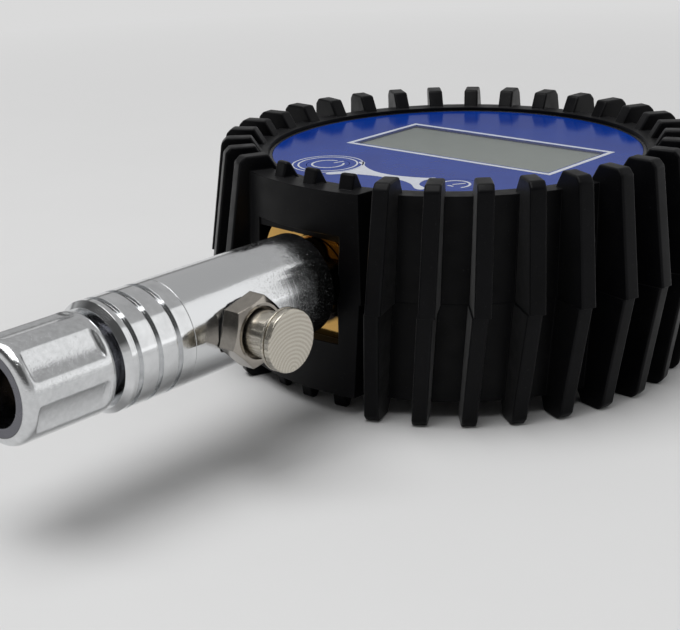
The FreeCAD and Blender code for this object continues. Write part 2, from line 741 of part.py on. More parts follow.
keep("rear_case", cut("rear_case", rear_solid, shank_hole, nut_bed, tray_inside, cell_mouth, cover_bed,
                      tab_bed, bridge_bed, cover_hole, *post_tools))

# Front case: outer band, locating skirt, panel with display opening and button pockets
skirt_outer = case_inner - d.fit_gap
skirt_inner = skirt_outer - d.skirt_thick
band_low = split_height + d.fit_gap
rim_top = face_height + d.rim_rise
front_ring = turned("front_ring", [
    (ZERO, panel_low),
    (skirt_inner, panel_low),
    (skirt_inner, split_height - d.skirt_depth),
    (skirt_outer, split_height - d.skirt_depth),
    (skirt_outer, band_low),
    (d.case_radius, band_low),
    (d.case_radius, ledge_high),
    (outer_rim, ledge_high),
    (outer_rim, rim_top),
    (inner_rim, rim_top),
    (inner_rim, panel_high),
    (ZERO, panel_high),
], upright())
fitting_half = nut_corner + d.fitting_room
notch_edge = -(shank_end - d.fit_gap * 6)
skirt_break = box("skirt_break", (-fitting_half, -d.case_radius, ZERO), (fitting_half, notch_edge, band_low))
pane_x = (d.case_radius - d.pane_side) * 2
pane_y = (d.case_radius - d.pane_edge) * 2
display_hole = about("display_hole", d.display_x, d.display_y, pane_x - d.pane_rebate * 2,
                     pane_y - d.pane_rebate * 2, split_height, d.boot_height)
bosses = []
front_tools = [skirt_break, display_hole]
for i, (x, y) in enumerate(post_places, start=1):
    bosses.append(cylinder("front_boss_%d" % i, d.boss_radius, d.boss_length + d.panel_thick / 2,
                           upright(x, y, boss_low)))
    front_tools.append(cylinder("front_boss_hole_%d" % i, d.screw_radius + d.fit_gap,
                                screw_tip + d.screw_end_room, upright(x, y)))
buttons = []
button_places = (("power", -1, d.power_inset, d.power_turn), ("unit", 1, d.unit_inset, d.unit_turn))
for name, side, inset, turn in button_places:
    button_circle = d.case_radius - inset
    buttons.append((name, button_circle * sine(turn) * side, -(button_circle * cosine(turn))))
pocket_floor = panel_high - d.button_travel - d.button_gap * 2
for name, x, y in buttons:
    front_tools.append(cylinder(name + "_pocket", d.button_radius + d.button_gap, d.boot_height,
                                upright(x, y, pocket_floor)))
    front_tools.append(cylinder(name + "_guide", d.button_stem + d.button_gap, d.boot_height,
                                upright(x, y, split_height)))
keep("front_case", cut("front_case", fuse("front_solid", front_ring, *bosses), *front_tools))

# Blue face sheet, clear pane and moving buttons
sheet_tools = [about("overlay_opening", d.display_x, d.display_y, pane_x, pane_y, ZERO, d.boot_height)]
for name, x, y in buttons:
    sheet_tools.append(cylinder(name + "_opening", d.button_radius + d.button_gap, d.boot_height,
                                upright(x, y)))
overlay_disc = cylinder("overlay_disc", face_radius, d.overlay_thick - d.fit_gap,
                        upright(z=panel_high + d.fit_gap))
keep("face_overlay", cut("face_overlay", overlay_disc, *sheet_tools))
keep("display_window", about("display_window", d.display_x, d.display_y, pane_x - d.fit_gap * 2,
                             pane_y - d.fit_gap * 2, panel_high + d.fit_gap, face_height))
switch_low = board_top + d.fit_gap
switch_high = switch_low + d.switch_thick
switch_tip = switch_high + d.plunger_rise
for name, x, y in buttons:
    stem_low = switch_tip + d.button_travel + d.fit_gap
    keep(name + "_button", turned(name + "_button", [
        (ZERO, stem_low),
        (d.button_stem, stem_low),
        (d.button_stem, panel_high),
        (d.button_radius, panel_high),
        (d.button_radius, face_height),
        (ZERO, face_height),
    ], upright(x, y)))

# Display glass in its frame over two elastic strips
glass_x = pane_x + d.glass_border * 2
glass_y = pane_y + d.glass_border * 2
keep("display_module", about("display_module", d.display_x, d.display_y, glass_x, glass_y, glass_low,
                             glass_high))
carrier_x = glass_x + d.fit_gap * 2
carrier_y = glass_y + d.fit_gap * 2
carrier_low = board_top + d.fit_gap
carrier_block = about("carrier_block", d.display_x, d.display_y, carrier_x + d.carrier_wall * 2,
                      carrier_y + d.carrier_wall * 2, carrier_low, panel_low - d.fit_gap)
carrier_hole = about("carrier_hole", d.display_x, d.display_y, carrier_x, carrier_y, ZERO, d.boot_height)
keep("display_carrier", cut("display_carrier", carrier_block, carrier_hole))
strip_offset = glass_y / 2 - d.strip_inset - d.strip_width / 2
for name, y in (("contact_strip_front", d.display_y - strip_offset),
                ("contact_strip_back", d.display_y + strip_offset)):
    keep(name, about(name, d.display_x, y, glass_x - d.strip_inset * 2, d.strip_width, carrier_low,
                     glass_low - d.fit_gap))

# Board, switches and sensor
board_disc = cylinder("board_disc", case_inner - d.board_room, d.board_thick, upright(z=board_low))
board_tools = [box("board_notch", (-fitting_half, -d.case_radius, ZERO),
                   (fitting_half, notch_edge, d.boot_height))]
for i, (x, y) in enumerate(post_places, start=1):
    board_tools.append(cylinder("board_hole_%d" % i, d.post_radius + d.screw_play * 2, d.boot_height,
                                upright(x, y)))
keep("circuit_board", cut("circuit_board", board_disc, *board_tools))
for name, x, y in buttons:
    foot = about(name + "_switch_body", x, y, d.switch_size, d.switch_size, switch_low, switch_high)
    tip = cylinder(name + "_switch_tip", d.plunger_radius, switch_tip - switch_low, upright(x, y, switch_low))
    keep(name + "_switch", fuse(name + "_switch", foot, tip))
inner_end_radius = d.passage + d.inner_wall
port_flat = stem_height + d.passage + d.port_wall
sensor_low = port_flat + d.sensor_seal_wire * 2
keep("pressure_sensor", ring("pressure_sensor", d.port_radius, d.sensor_radius, sensor_low,
                             board_low - d.fit_gap, upright(y=-port_at)))
keep("sensor_seal", torus("sensor_seal", d.sensor_seal_radius, d.sensor_seal_wire - d.seal_gap / 2,
                          upright(y=-port_at, z=port_flat + d.sensor_seal_wire)))

# Batteries, their contacts, the cover and its screw
for name, side, tip_way in (("battery_left", -1, 1), ("battery_right", 1, -1)):
    y = d.tray_y + cell_offset * side
    can_low = -cell_half if tip_way > 0 else d.cell_tip - cell_half
    can = cylinder(name + "_can", d.cell_radius, d.cell_length, sideways(can_low, y, cell_height))
    tip_low = ZERO if tip_way > 0 else -cell_half
    tip = cylinder(name + "_tip", d.cell_tip_radius, cell_half, sideways(tip_low, y, cell_height))
    keep(name, fuse(name, can, tip))
plate_outer = tray_half_x - d.fit_gap
plate_inner = plate_outer - d.contact_thick
plate_half_y = tray_half_y - d.contact_margin
dome_length = plate_outer - d.contact_thick / 2 - cell_half - d.fit_gap
for name, side in (("contact_plate_left", -1), ("contact_plate_right", 1)):
    near, far = (plate_inner, plate_outer) if side > 0 else (-plate_outer, -plate_inner)
    plate = box(name + "_plate", (near, d.tray_y - plate_half_y, cell_height - d.contact_height / 2),
                (far, d.tray_y + plate_half_y, cell_height + d.contact_height / 2))
    domes = []
    for lane in (-1, 1):
        dome = document.addObject("Part::Cone", name + "_dome")
        bind(dome, "Radius1", d.contact_tip if side > 0 else d.contact_dome)
        bind(dome, "Radius2", d.contact_dome if side > 0 else d.contact_tip)
        bind(dome, "Height", dome_length)
        dome_low = cell_half + d.fit_gap if side > 0 else -(cell_half + d.fit_gap + dome_length)
        put(dome, *sideways(dome_low, d.tray_y + cell_offset * lane, cell_height))
        domes.append(dome)
    keep(name, fuse(name, plate, *domes))
cover_play = d.fit_gap * 3
tab_radius = d.cover_tab - cover_play
cover_solid = fuse(
    "cover_solid",
    tray_box("cover_plate", -cover_play, case_low, cover_high),
    cylinder("cover_ear", tab_radius, d.cover_thick, upright(ZERO, cover_screw_y, case_low)),
    box("cover_bridge", (-tab_radius, tray_back - d.cover_ledge, case_low),
        (tab_radius, cover_screw_y, cover_high)),
)
ear_place = upright(ZERO, cover_screw_y)
ear_hole = cylinder("ear_hole", d.cover_screw_radius + d.screw_play, d.boot_height, ear_place)
ear_sink = cylinder("ear_sink", d.cover_screw_head + d.screw_play, cover_head_top, ear_place)
keep("battery_cover", cut("battery_cover", cover_solid, ear_hole, ear_sink))


def screw(name, x, y, low, head_top, head, shank, tip):
    blank = turned(name + "_blank", [
        (ZERO, low), (head, low), (head, head_top), (shank, head_top), (shank, tip), (ZERO, tip),
    ], upright(x, y))
    slot = box(name + "_slot", (x - head * 2, y - d.slot_width / 2, low - d.slot_depth),
               (x + head * 2, y + d.slot_width / 2, low + d.slot_depth))
    keep(name, cut(name, blank, slot))


screw("cover_screw", ZERO, cover_screw_y, case_low - d.fit_gap, cover_head_top - d.fit_gap,
      d.cover_screw_head, d.cover_screw_radius, cover_screw_tip)
for i, (x, y) in enumerate(post_places, start=1):
    screw("case_screw_%d" % i, x, y, case_low + d.screw_sink, screw_seat - d.fit_gap, d.screw_head,
          d.screw_radius, screw_tip)

# Brass fitting with its flange, shank, raised ring and sensor port
bore_end = thread_end - d.stem_seal_wire * 2 - d.seal_gap * 2
fitting = turned("fitting_blank", [
    (d.passage, inner_end + d.blind_wall),
    (ZERO, inner_end + d.blind_wall),
    (ZERO, inner_end),
    (inner_end_radius, inner_end),
    (inner_end_radius, shank_end),
    (shank_radius, shank_end),
    (shank_radius, flange_back),
    (flange_radius, flange_back),
    (flange_radius, flange_face),
    (ring_outer, flange_face),
    (ring_outer, flange_face + d.ring_boss_rise),
    (ring_inner, flange_face + d.ring_boss_rise),
    (ring_inner, flange_face),
    (thread_bore, flange_face),
    (thread_bore, bore_end),
    (d.passage, bore_end),
], on_stem())
sensor_flat = box("sensor_flat", (-inner_end_radius, notch_edge, port_flat),
                  (inner_end_radius, ZERO, d.boot_height))
sensor_port = cylinder("sensor_port", d.port_radius, d.boot_height, upright(ZERO, -port_at, stem_height))
side_cut = box("flange_side_cut", (flange_side, -flange_face * 2, ZERO),
               (flange_radius * 2, -boss_face, d.boot_height))
keep("brass_manifold", cut("brass_manifold", fitting, sensor_flat, sensor_port, side_cut))
nut_start = boss_inner - d.fit_gap - d.nut_thick
nut_hole = cylinder("nut_hole", shank_radius + d.fit_gap, d.nut_thick * 3, on_stem(nut_start - d.nut_thick))
keep("manifold_nut", cut("manifold_nut", hexagon("nut_prism", nut_corner, d.nut_thick, on_stem(nut_start)),
                         nut_hole))

# Chrome stem: threaded end, shoulder, passage, valve chamber, cross hole and the end for the collar
valve_hole = d.valve_thread + d.fit_gap
valve_seat = d.stem_radius - d.valve_seat_cut
stem_blank = turned("stem_blank", [
    (d.passage, thread_end),
    (d.stem_thread, thread_end),
    (d.stem_thread, stem_start),
    (d.stem_radius - d.stem_bevel, stem_start),
    (d.stem_radius, stem_start + d.stem_bevel),
    (d.stem_radius, stem_end),
    (collar_thread, stem_end),
    (collar_thread, collar_seat),
    (d.chamber, collar_seat),
    (d.chamber, chamber_start),
    (d.passage, chamber_start),
], on_stem())
cross_hole = cylinder("cross_hole", valve_hole, d.stem_radius * 2, on_valve())
spot_face = cylinder("spot_face", d.valve_spotface, d.stem_radius, on_valve(valve_seat))
keep("stem_body", cut("stem_body", stem_blank, cross_hole, spot_face))
keep("neck_ring", ring("neck_ring", thread_bore, neck_radius, flange_face + d.seal_gap,
                       stem_start - d.seal_gap, on_stem()))
keep("stem_oring", torus("stem_oring", d.stem_thread - d.stem_seal_inset, d.stem_seal_wire,
                         on_stem(thread_end - d.seal_gap - d.stem_seal_wire)))

# Bleed valve: body with hexagon, washer, plunger with pin, poppet with seal, return spring
hex_low = valve_seat + d.seat_washer
hex_high = hex_low + d.hex_height
recess_floor = hex_low + d.recess_lift
recess_radius = d.barrel_radius + d.barrel_play
hex_corner = (recess_radius + d.hex_wall) * CORNER
body_inner = d.chamber + d.body_stand
pin_hole = d.pin_radius + d.air_gap
body_blank = turned("valve_blank", [
    (pin_hole, body_inner),
    (d.valve_thread, body_inner),
    (d.valve_thread, hex_low),
    (hex_corner, hex_low),
    (hex_corner, hex_high - d.hex_chamfer),
    (hex_corner - d.hex_chamfer * 2, hex_high),
    (recess_radius, hex_high),
    (recess_radius, recess_floor),
    (pin_hole, recess_floor),
], upright())
hex_prism = hexagon("valve_prism", hex_corner, hex_high - body_inner, upright(z=body_inner))
hex_prism.Placement.Rotation = FreeCAD.Rotation(Vector(0, 0, -1), d.hex_turn.number)
bind(hex_prism, "Placement.Rotation.Angle", d.hex_turn)
valve_solid = common("valve_body", body_blank, hex_prism)
put(valve_solid, *on_valve())
keep("valve_body", valve_solid)
washer_inner = d.valve_thread + d.washer_gap
keep("valve_washer", ring("valve_washer", washer_inner, washer_inner + d.washer_width,
                          valve_seat + d.seal_gap / 2, hex_low - d.seal_gap / 2, on_valve()))
barrel_low = recess_floor + d.press_travel + d.press_room
barrel_high = barrel_low + d.barrel_length
spring_roof = barrel_high - d.barrel_roof
barrel_bore = d.barrel_radius - d.barrel_wall
disc_low = barrel_high + d.disc_neck
disc_high = disc_low + d.disc_thick
groove_low = disc_low + d.disc_groove_at
groove_floor = d.disc_radius - d.disc_groove_depth
poppet_high = body_inner - d.poppet_seal_thick
poppet_low = poppet_high - d.poppet_length
poppet_radius = pin_hole + d.poppet_step
keep("bleed_plunger", turned("bleed_plunger", [
    (ZERO, poppet_low + d.fit_gap),
    (d.pin_radius, poppet_low + d.fit_gap),
    (d.pin_radius, spring_roof),
    (barrel_bore, spring_roof),
    (barrel_bore, barrel_low),
    (d.barrel_radius, barrel_low),
    (d.barrel_radius, barrel_high),
    (d.barrel_radius - d.disc_neck_depth, barrel_high),
    (d.barrel_radius - d.disc_neck_depth, disc_low),
    (d.disc_radius, disc_low),
    (d.disc_radius, groove_low),
    (groove_floor, groove_low),
    (groove_floor, groove_low + d.disc_groove_width),
    (d.disc_radius, groove_low + d.disc_groove_width),
    (d.disc_radius, disc_high - d.disc_bevel),
    (d.disc_radius - d.disc_bevel, disc_high),
    (ZERO, disc_high),
], on_valve()))
pin_fit = d.pin_radius + d.fit_gap
keep("bleed_poppet", ring("bleed_poppet", pin_fit, poppet_radius, poppet_low, poppet_high, on_valve()))
keep("poppet_seal", ring("poppet_seal", pin_fit, poppet_radius - d.poppet_seal_inset,
                         poppet_high + d.seal_gap / 2, body_inner - d.seal_gap, on_valve()))


# Two arcs that leave one point along its direction and reach the next along its own
def tangent_arcs(start, start_way, end, end_way):
    chord = end - start
    ways = start_way + end_way
    along = chord.dot(ways)
    spare = 4 - ways.dot(ways)
    reach = (math.sqrt(along ** 2 + spare * chord.dot(chord)) - along) / spare
    corners = (start + start_way * reach, end - end_way * reach)
    joint = (corners[0] + corners[1]) / 2
    arcs = []
    for low, corner, high in ((start, corners[0], joint), (joint, corners[1], end)):
        middle = (low + high) / 2
        bend = (corner - low).getAngle(high - corner)
        rise = (corner - middle).normalize() * ((high - low).Length / 2 * math.tan(bend / 4))
        arcs.append(Part.Arc(low, middle + rise, high).toShape())
    return arcs


# Return spring: one wire along its helix, a pair of arcs for each quarter turn
spring_radius = barrel_bore - d.spring_wire - d.spring_play
spring_length = spring_roof - recess_floor - (d.spring_wire + d.seal_gap) * 2
climb = spring_length.number / (2 * math.pi * d.spring_turns.number)
helix = []
for i in range(int(d.spring_turns.number) * 4 + 1):
    angle = math.pi / 2 * i
    across = Vector(math.cos(angle), math.sin(angle), 0) * spring_radius.number
    way = Vector(-across.y, across.x, climb)
    helix.append((across + Vector(0, 0, climb * angle), way.normalize()))
spring_path = []
for low, high in zip(helix, helix[1:]):
    spring_path += tangent_arcs(*low, *high)
wire_start = Part.Wire(Part.Circle(*helix[0], d.spring_wire.number).toShape())
spring = document.addObject("Part::Feature", "bleed_spring")
spring.Shape = Part.Wire(spring_path).makePipeShell([wire_start], True)
put(spring, *on_valve(recess_floor + d.spring_wire + d.seal_gap))
keep("bleed_spring", spring)

# Grooved collar that screws on the stem's end and holds the spigot's flange
collar_room = collar_thread + d.fit_gap
collar_start = stem_end + d.fit_gap
flange_low = collar_seat + d.swivel_gap
flange_high = flange_low + d.spigot_flange_thick
shoulder = flange_high + d.swivel_washer + d.swivel_gap
neck_room = spigot_neck + d.running_gap
collar_outline = [(collar_room, collar_start), (d.stem_radius, collar_start)]
for i in range(3):
    middle = stem_end + d.groove_first + d.groove_pitch * i
    low = middle - d.groove_width / 2
    high = middle + d.groove_width / 2
    floor = d.stem_radius - d.groove_depth
    collar_outline += [(d.stem_radius, low), (floor, low), (floor, high), (d.stem_radius, high)]
collar_outline += [
    (d.stem_radius, collar_end - d.collar_bevel),
    (d.stem_radius - d.collar_bevel, collar_end),
    (neck_room, collar_end),
    (neck_room, shoulder),
    (collar_room, shoulder),
]
keep("grooved_collar", turned("grooved_collar", collar_outline, on_stem()))

# Hollow spigot: nose with two seals in the stem, flange, neck and the wide end with the hose thread
nose = d.chamber - d.running_gap
nose_end = flange_low - d.nose_length
nose_seal_radius = d.chamber - d.nose_seal_wire - d.seal_gap * 2
first_seal = nose_end + d.nose_seal_first
second_seal = first_seal + d.nose_seal_pitch
thread_floor = grip_end - d.hose_thread_depth
inlet_radius = d.hose_thread - d.inlet_seat_step
inlet_washer_high = thread_floor - d.inlet_seat_room
inlet_washer_low = inlet_washer_high - d.inlet_washer_thick
filter_low = inlet_washer_low - d.seal_gap - d.filter_thick
inlet_floor = filter_low - d.seal_gap
spigot_outline = [(d.passage, nose_end), (nose, nose_end)]
for middle in (first_seal, second_seal):
    low = middle - d.nose_seal_wire - d.seal_gap
    high = middle + d.nose_seal_wire + d.seal_gap
    floor = nose_seal_radius - d.nose_seal_wire - d.seal_gap
    spigot_outline += [(nose, low), (floor, low), (floor, high), (nose, high)]
spigot_outline += [
    (nose, flange_low),
    (spigot_flange, flange_low),
    (spigot_flange, flange_high),
    (spigot_neck, flange_high),
    (spigot_neck, grip_start + d.grip_seat),
    (grip_bore, grip_start + d.grip_seat),
    (grip_bore, grip_end),
    (d.hose_thread, grip_end),
    (d.hose_thread, thread_floor),
    (inlet_radius, thread_floor),
    (inlet_radius, inlet_floor),
    (d.passage, inlet_floor),
]
keep("swivel_spigot", turned("swivel_spigot", spigot_outline, on_stem()))
for name, middle in (("swivel_oring_front", first_seal), ("swivel_oring_back", second_seal)):
    keep(name, torus(name, nose_seal_radius, d.nose_seal_wire, on_stem(middle)))
keep("swivel_washer", ring("swivel_washer", neck_room, spigot_flange, flange_high + d.swivel_gap / 2,
                           shoulder - d.swivel_gap / 2, on_stem()))

# Fluted grip over the spigot
grip_body = document.addObject("PartDesign::Body", "grip_body")
grip_turn = revolve(grip_body, "grip_turn", [
    (spigot_neck + d.fit_gap, grip_start),
    (grip_radius, grip_start),
    (grip_radius, grip_end),
    (grip_bore + d.fit_gap, grip_end),
    (grip_bore + d.fit_gap, grip_start + d.grip_seat - d.fit_gap),
    (spigot_neck + d.fit_gap, grip_start + d.grip_seat - d.fit_gap),
])
document.recompute()
outer_edges = []
for i, edge in enumerate(grip_turn.Shape.Edges, start=1):
    if edge.Curve.TypeId == "Part::GeomCircle" and abs(edge.Curve.Radius - grip_radius.number) < 1e-6:
        outer_edges.append("Edge%d" % i)
grip_ends = grip_body.newObject("PartDesign::Fillet", "grip_ends")
grip_ends.Base = (grip_turn, outer_edges)
bind(grip_ends, "Radius", d.grip_round)
grip_body.Tip = grip_ends
put(grip_body, *on_stem())


# The end of a scoop cutter, rounded in three steps
def rounded_corner(radius, corner, end, way):
    points = []
    for angle in (0, 30, 60, 90):
        swing = math.radians(angle)
        points.append((radius - corner * (1 - math.sin(swing)), end + corner * ((1 - math.cos(swing)) * way)))
    return points if way > 0 else points[::-1]


scoop_centre = grip_radius - d.scoop_depth + d.scoop_radius
scoop_low = grip_start + d.scoop_margin
scoop_high = grip_end - d.scoop_margin
scoop_outline = [(ZERO, scoop_low)] + rounded_corner(d.scoop_radius, d.scoop_corner, scoop_low, 1)
scoop_outline += rounded_corner(d.scoop_radius, d.scoop_corner, scoop_high, -1) + [(ZERO, scoop_high)]
scoops = []
for i in range(int(d.scoop_count.number)):
    angle = d.scoop_turn + term(360) / d.scoop_count * i
    across = scoop_centre * cosine(angle)
    above = stem_height + scoop_centre * sine(angle)
    scoops.append(turned("scoop_%d" % (i + 1), scoop_outline, ((across, ZERO, above), ALONG_STEM)))
keep("grip_sleeve", cut("grip_sleeve", grip_body, *scoops))

# Filter and flat seal behind the hose thread
filter_radius = inlet_radius - d.fit_gap
keep("inlet_filter", cylinder("inlet_filter", filter_radius, d.filter_thick, on_stem(filter_low)))
keep("inlet_washer", ring("inlet_washer", filter_radius - d.inlet_washer_width, filter_radius,
                          inlet_washer_low, inlet_washer_high, on_stem()))

document.recompute()

# Check every object, then write each piece
faults = []
for thing in document.Objects:
    if "Invalid" in thing.State or "Error" in thing.State:
        faults.append("%s %s" % (thing.Name, thing.State))
for node, thing in pieces.items():
    shape = thing.Shape
    if shape.isNull() or not shape.isValid() or len(shape.Solids) != 1:
        faults.append("%s null %s solids %d" % (node, shape.isNull(), len(shape.Solids)))
if faults:
    raise SystemExit("faults: " + "; ".join(faults))
os.makedirs("parts", exist_ok=True)
for node, thing in pieces.items():
    thing.Shape.exportStep("parts/%s.step" % node)
    print("%-22s %9.1f mm3" % (node, thing.Shape.Volume))
print("pieces", len(pieces))
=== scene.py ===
import math

import bmesh
import bpy
from mathutils import Matrix, Vector


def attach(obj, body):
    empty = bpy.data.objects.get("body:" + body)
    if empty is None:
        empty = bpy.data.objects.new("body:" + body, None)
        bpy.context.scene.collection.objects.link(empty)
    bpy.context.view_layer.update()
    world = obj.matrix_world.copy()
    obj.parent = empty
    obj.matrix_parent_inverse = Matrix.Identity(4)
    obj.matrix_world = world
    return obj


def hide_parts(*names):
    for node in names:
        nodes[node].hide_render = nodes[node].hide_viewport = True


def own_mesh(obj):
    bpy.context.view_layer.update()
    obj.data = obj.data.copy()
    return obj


# Digital tyre inflator gauge head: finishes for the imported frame, and the pieces that need finer forms.
# Sizes are millimetres and angles degrees, unless a note says otherwise.
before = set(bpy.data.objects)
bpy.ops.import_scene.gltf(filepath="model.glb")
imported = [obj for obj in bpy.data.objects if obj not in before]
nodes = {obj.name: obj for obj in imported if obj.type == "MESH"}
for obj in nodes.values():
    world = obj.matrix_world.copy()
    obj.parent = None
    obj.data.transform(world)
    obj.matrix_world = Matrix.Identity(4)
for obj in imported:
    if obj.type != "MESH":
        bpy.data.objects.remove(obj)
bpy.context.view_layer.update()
mm = 0.001  # one millimetre in Blender's metres
print("frame loaded with", len(nodes), "nodes")

gauge = {"stemHeight": 20.2, "valveY": -56.9, "faceHeight": 32.9}


# Materials: small helpers, then one function for each finish
def newMaterial(name, color, roughness=0.45, metallic=0.0):
    material = bpy.data.materials.new(name)
    material.use_nodes = True
    tree = material.node_tree
    shader = tree.nodes["Principled BSDF"]
    shader.inputs["Base Color"].default_value = (*color, 1)
    shader.inputs["Roughness"].default_value = roughness
    shader.inputs["Metallic"].default_value = metallic
    return material, tree, shader


def addNode(tree, kind, **settings):
    node = tree.nodes.new(kind)
    for key, value in settings.items():
        if key in node.inputs:
            node.inputs[key].default_value = value
        else:
            setattr(node, key, value)
    return node


# Object coordinates, stretched or turned for a pattern
def place(tree, scale=(1, 1, 1), turn=(0, 0, 0), centre=(0, 0, 0)):
    coordinates = addNode(tree, "ShaderNodeTexCoord")
    mapping = addNode(tree, "ShaderNodeMapping", vector_type="TEXTURE")
    mapping.inputs["Location"].default_value = [c * mm for c in centre]
    mapping.inputs["Rotation"].default_value = [math.radians(a) for a in turn]
    mapping.inputs["Scale"].default_value = scale
    tree.links.new(coordinates.outputs["Object"], mapping.inputs["Vector"])
    return mapping.outputs["Vector"]


# A noise whose grains are about size across
def noise(tree, size, vector=None, detail=4.0, rough=0.6):
    node = addNode(tree, "ShaderNodeTexNoise", Scale=1 / (size * mm), Detail=detail, Roughness=rough)
    tree.links.new(vector or place(tree), node.inputs["Vector"])
    return node.outputs["Fac"]


def ramp(tree, value, low, high, lowColor, highColor):
    node = addNode(tree, "ShaderNodeValToRGB")
    node.color_ramp.elements[0].position = low
    node.color_ramp.elements[1].position = high
    node.color_ramp.elements[0].color = (*lowColor, 1)
    node.color_ramp.elements[1].color = (*highColor, 1)
    tree.links.new(value, node.inputs["Fac"])
    return node.outputs["Color"]


# A value that goes from low to high as the given one goes from start to end
def spread(tree, value, low, high, start=0.0, end=1.0):
    node = addNode(tree, "ShaderNodeMapRange")
    node.inputs["From Min"].default_value = start
    node.inputs["From Max"].default_value = end
    node.inputs["To Min"].default_value = low
    node.inputs["To Max"].default_value = high
    tree.links.new(value, node.inputs["Value"])
    return node.outputs["Result"]


# Adds or multiplies two values, or takes the larger
def combine(tree, kind, first, second):
    node = addNode(tree, "ShaderNodeMath", operation=kind)
    tree.links.new(first, node.inputs[0])
    tree.links.new(second, node.inputs[1])
    return node.outputs[0]


# Goes from a colour to a fixed one by a share from 0 to 1
def tint(tree, share, color, fixed):
    node = addNode(tree, "ShaderNodeMix", data_type="RGBA")
    tree.links.new(share, node.inputs[0])
    tree.links.new(color, node.inputs[6])
    node.inputs[7].default_value = (*fixed, 1)
    return node.outputs[2]


def separate(tree, vector):
    node = addNode(tree, "ShaderNodeSeparateXYZ")
    tree.links.new(vector, node.inputs["Vector"])
    return node.outputs


def lengthOf(tree, vector):
    node = addNode(tree, "ShaderNodeVectorMath", operation="LENGTH")
    tree.links.new(vector, node.inputs[0])
    return node.outputs["Value"]


def mixShaders(tree, share, first, second):
    node = addNode(tree, "ShaderNodeMixShader")
    tree.links.new(share, node.inputs["Fac"])
    tree.links.new(first, node.inputs[1])
    tree.links.new(second, node.inputs[2])
    tree.links.new(node.outputs["Shader"], tree.nodes["Material Output"].inputs["Surface"])


# Rays from the eye, and rays that reach it by way of metal or glass
def rayKinds(tree):
    node = addNode(tree, "ShaderNodeLightPath")
    mirrored = combine(tree, "MAXIMUM", node.outputs["Is Glossy Ray"], node.outputs["Is Transmission Ray"])
    return node.outputs["Is Camera Ray"], mirrored


# Bumps of some depth over edges that look rounded to some radius
def surface(tree, shader, height, depth, strength=1.0, edge=0.0):
    node = addNode(tree, "ShaderNodeBump", Strength=strength, Distance=depth * mm)
    tree.links.new(height, node.inputs["Height"])
    if edge:
        soft = addNode(tree, "ShaderNodeBevel", Radius=edge * mm, samples=6)
        tree.links.new(soft.outputs["Normal"], node.inputs["Normal"])
    tree.links.new(node.outputs["Normal"], shader.inputs["Normal"])


def paint(tree, shader, socket, value):
    tree.links.new(value, shader.inputs[socket])


rubber = {"color": (0.0012, 0.0012, 0.0017), "worn": (0.0030, 0.0031, 0.0040), "wornPatch": 7.0,
          "dust": (0.018, 0.018, 0.019), "dustGrain": 0.35, "roughness": (0.32, 0.50), "roughPatch": 3.0,
          "grain": 0.16, "depth": 0.010, "edge": 0.22, "specular": 0.11, "sheen": 0.10, "sheenRoughness": 0.32}


def makeRubber():
    material, tree, shader = newMaterial("bootRubber", rubber["color"])
    dust = spread(tree, noise(tree, rubber["dustGrain"], detail=2.0), 0.0, 1.0, 0.66, 0.78)
    worn = ramp(tree, noise(tree, rubber["wornPatch"]), 0.35, 0.75, rubber["color"], rubber["worn"])
    paint(tree, shader, "Base Color", tint(tree, dust, worn, rubber["dust"]))
    paint(tree, shader, "Roughness",
          spread(tree, noise(tree, rubber["roughPatch"]), *rubber["roughness"], 0.3, 0.7))
    surface(tree, shader, noise(tree, rubber["grain"]), rubber["depth"], 0.5, rubber["edge"])
    shader.inputs["Specular IOR Level"].default_value = rubber["specular"]
    shader.inputs["Sheen Weight"].default_value = rubber["sheen"]
    shader.inputs["Sheen Roughness"].default_value = rubber["sheenRoughness"]
    return material


# Moulded plastic, whose colour and roughness drift a little
plastic = {"colorPatch": 5.0, "roughPatch": 2.0, "uneven": 0.07, "depth": 0.008, "edge": 0.1}


def makePlastic(name, color, roughness=0.4, grain=0.2, specular=0.3):
    material, tree, shader = newMaterial(name, color, roughness)
    lighter = [c * 1.3 + 0.001 for c in color]
    smooth, rough = roughness - plastic["uneven"], roughness + plastic["uneven"]
    paint(tree, shader, "Base Color", ramp(tree, noise(tree, plastic["colorPatch"]), 0.3, 0.7, color, lighter))
    paint(tree, shader, "Roughness", spread(tree, noise(tree, plastic["roughPatch"]), smooth, rough, 0.3, 0.7))
    surface(tree, shader, noise(tree, grain), plastic["depth"], 0.5, plastic["edge"])
    shader.inputs["Specular IOR Level"].default_value = specular
    return material


faceSheet = {"color": (0.001, 0.036, 0.28), "deep": (0.001, 0.026, 0.23), "patch": 9.0, "roughness": 0.14,
             "ripple": 1.5, "depth": 0.003, "ior": 1.25}


def makeBlue():
    material, tree, shader = newMaterial("faceBlue", faceSheet["color"], faceSheet["roughness"])
    paint(tree, shader, "Base Color",
          ramp(tree, noise(tree, faceSheet["patch"]), 0.35, 0.7, faceSheet["deep"], faceSheet["color"]))
    surface(tree, shader, noise(tree, faceSheet["ripple"]), faceSheet["depth"], 0.2)
    shader.inputs["IOR"].default_value = faceSheet["ior"]
    return material


ink = {"color": (0.62, 0.65, 0.72), "fade": 0.88, "patch": 0.8, "roughness": 0.22}


def makeInk():
    material, tree, shader = newMaterial("printWhite", ink["color"], ink["roughness"])
    faded = [c * ink["fade"] for c in ink["color"]]
    paint(tree, shader, "Base Color", ramp(tree, noise(tree, ink["patch"]), 0.3, 0.7, faded, ink["color"]))
    return material


# Polished metal: cloudy roughness, fine scratches that run where the stretch is large, and small pits
metal = {"darker": 0.84, "scratch": 0.25, "pit": 0.3}


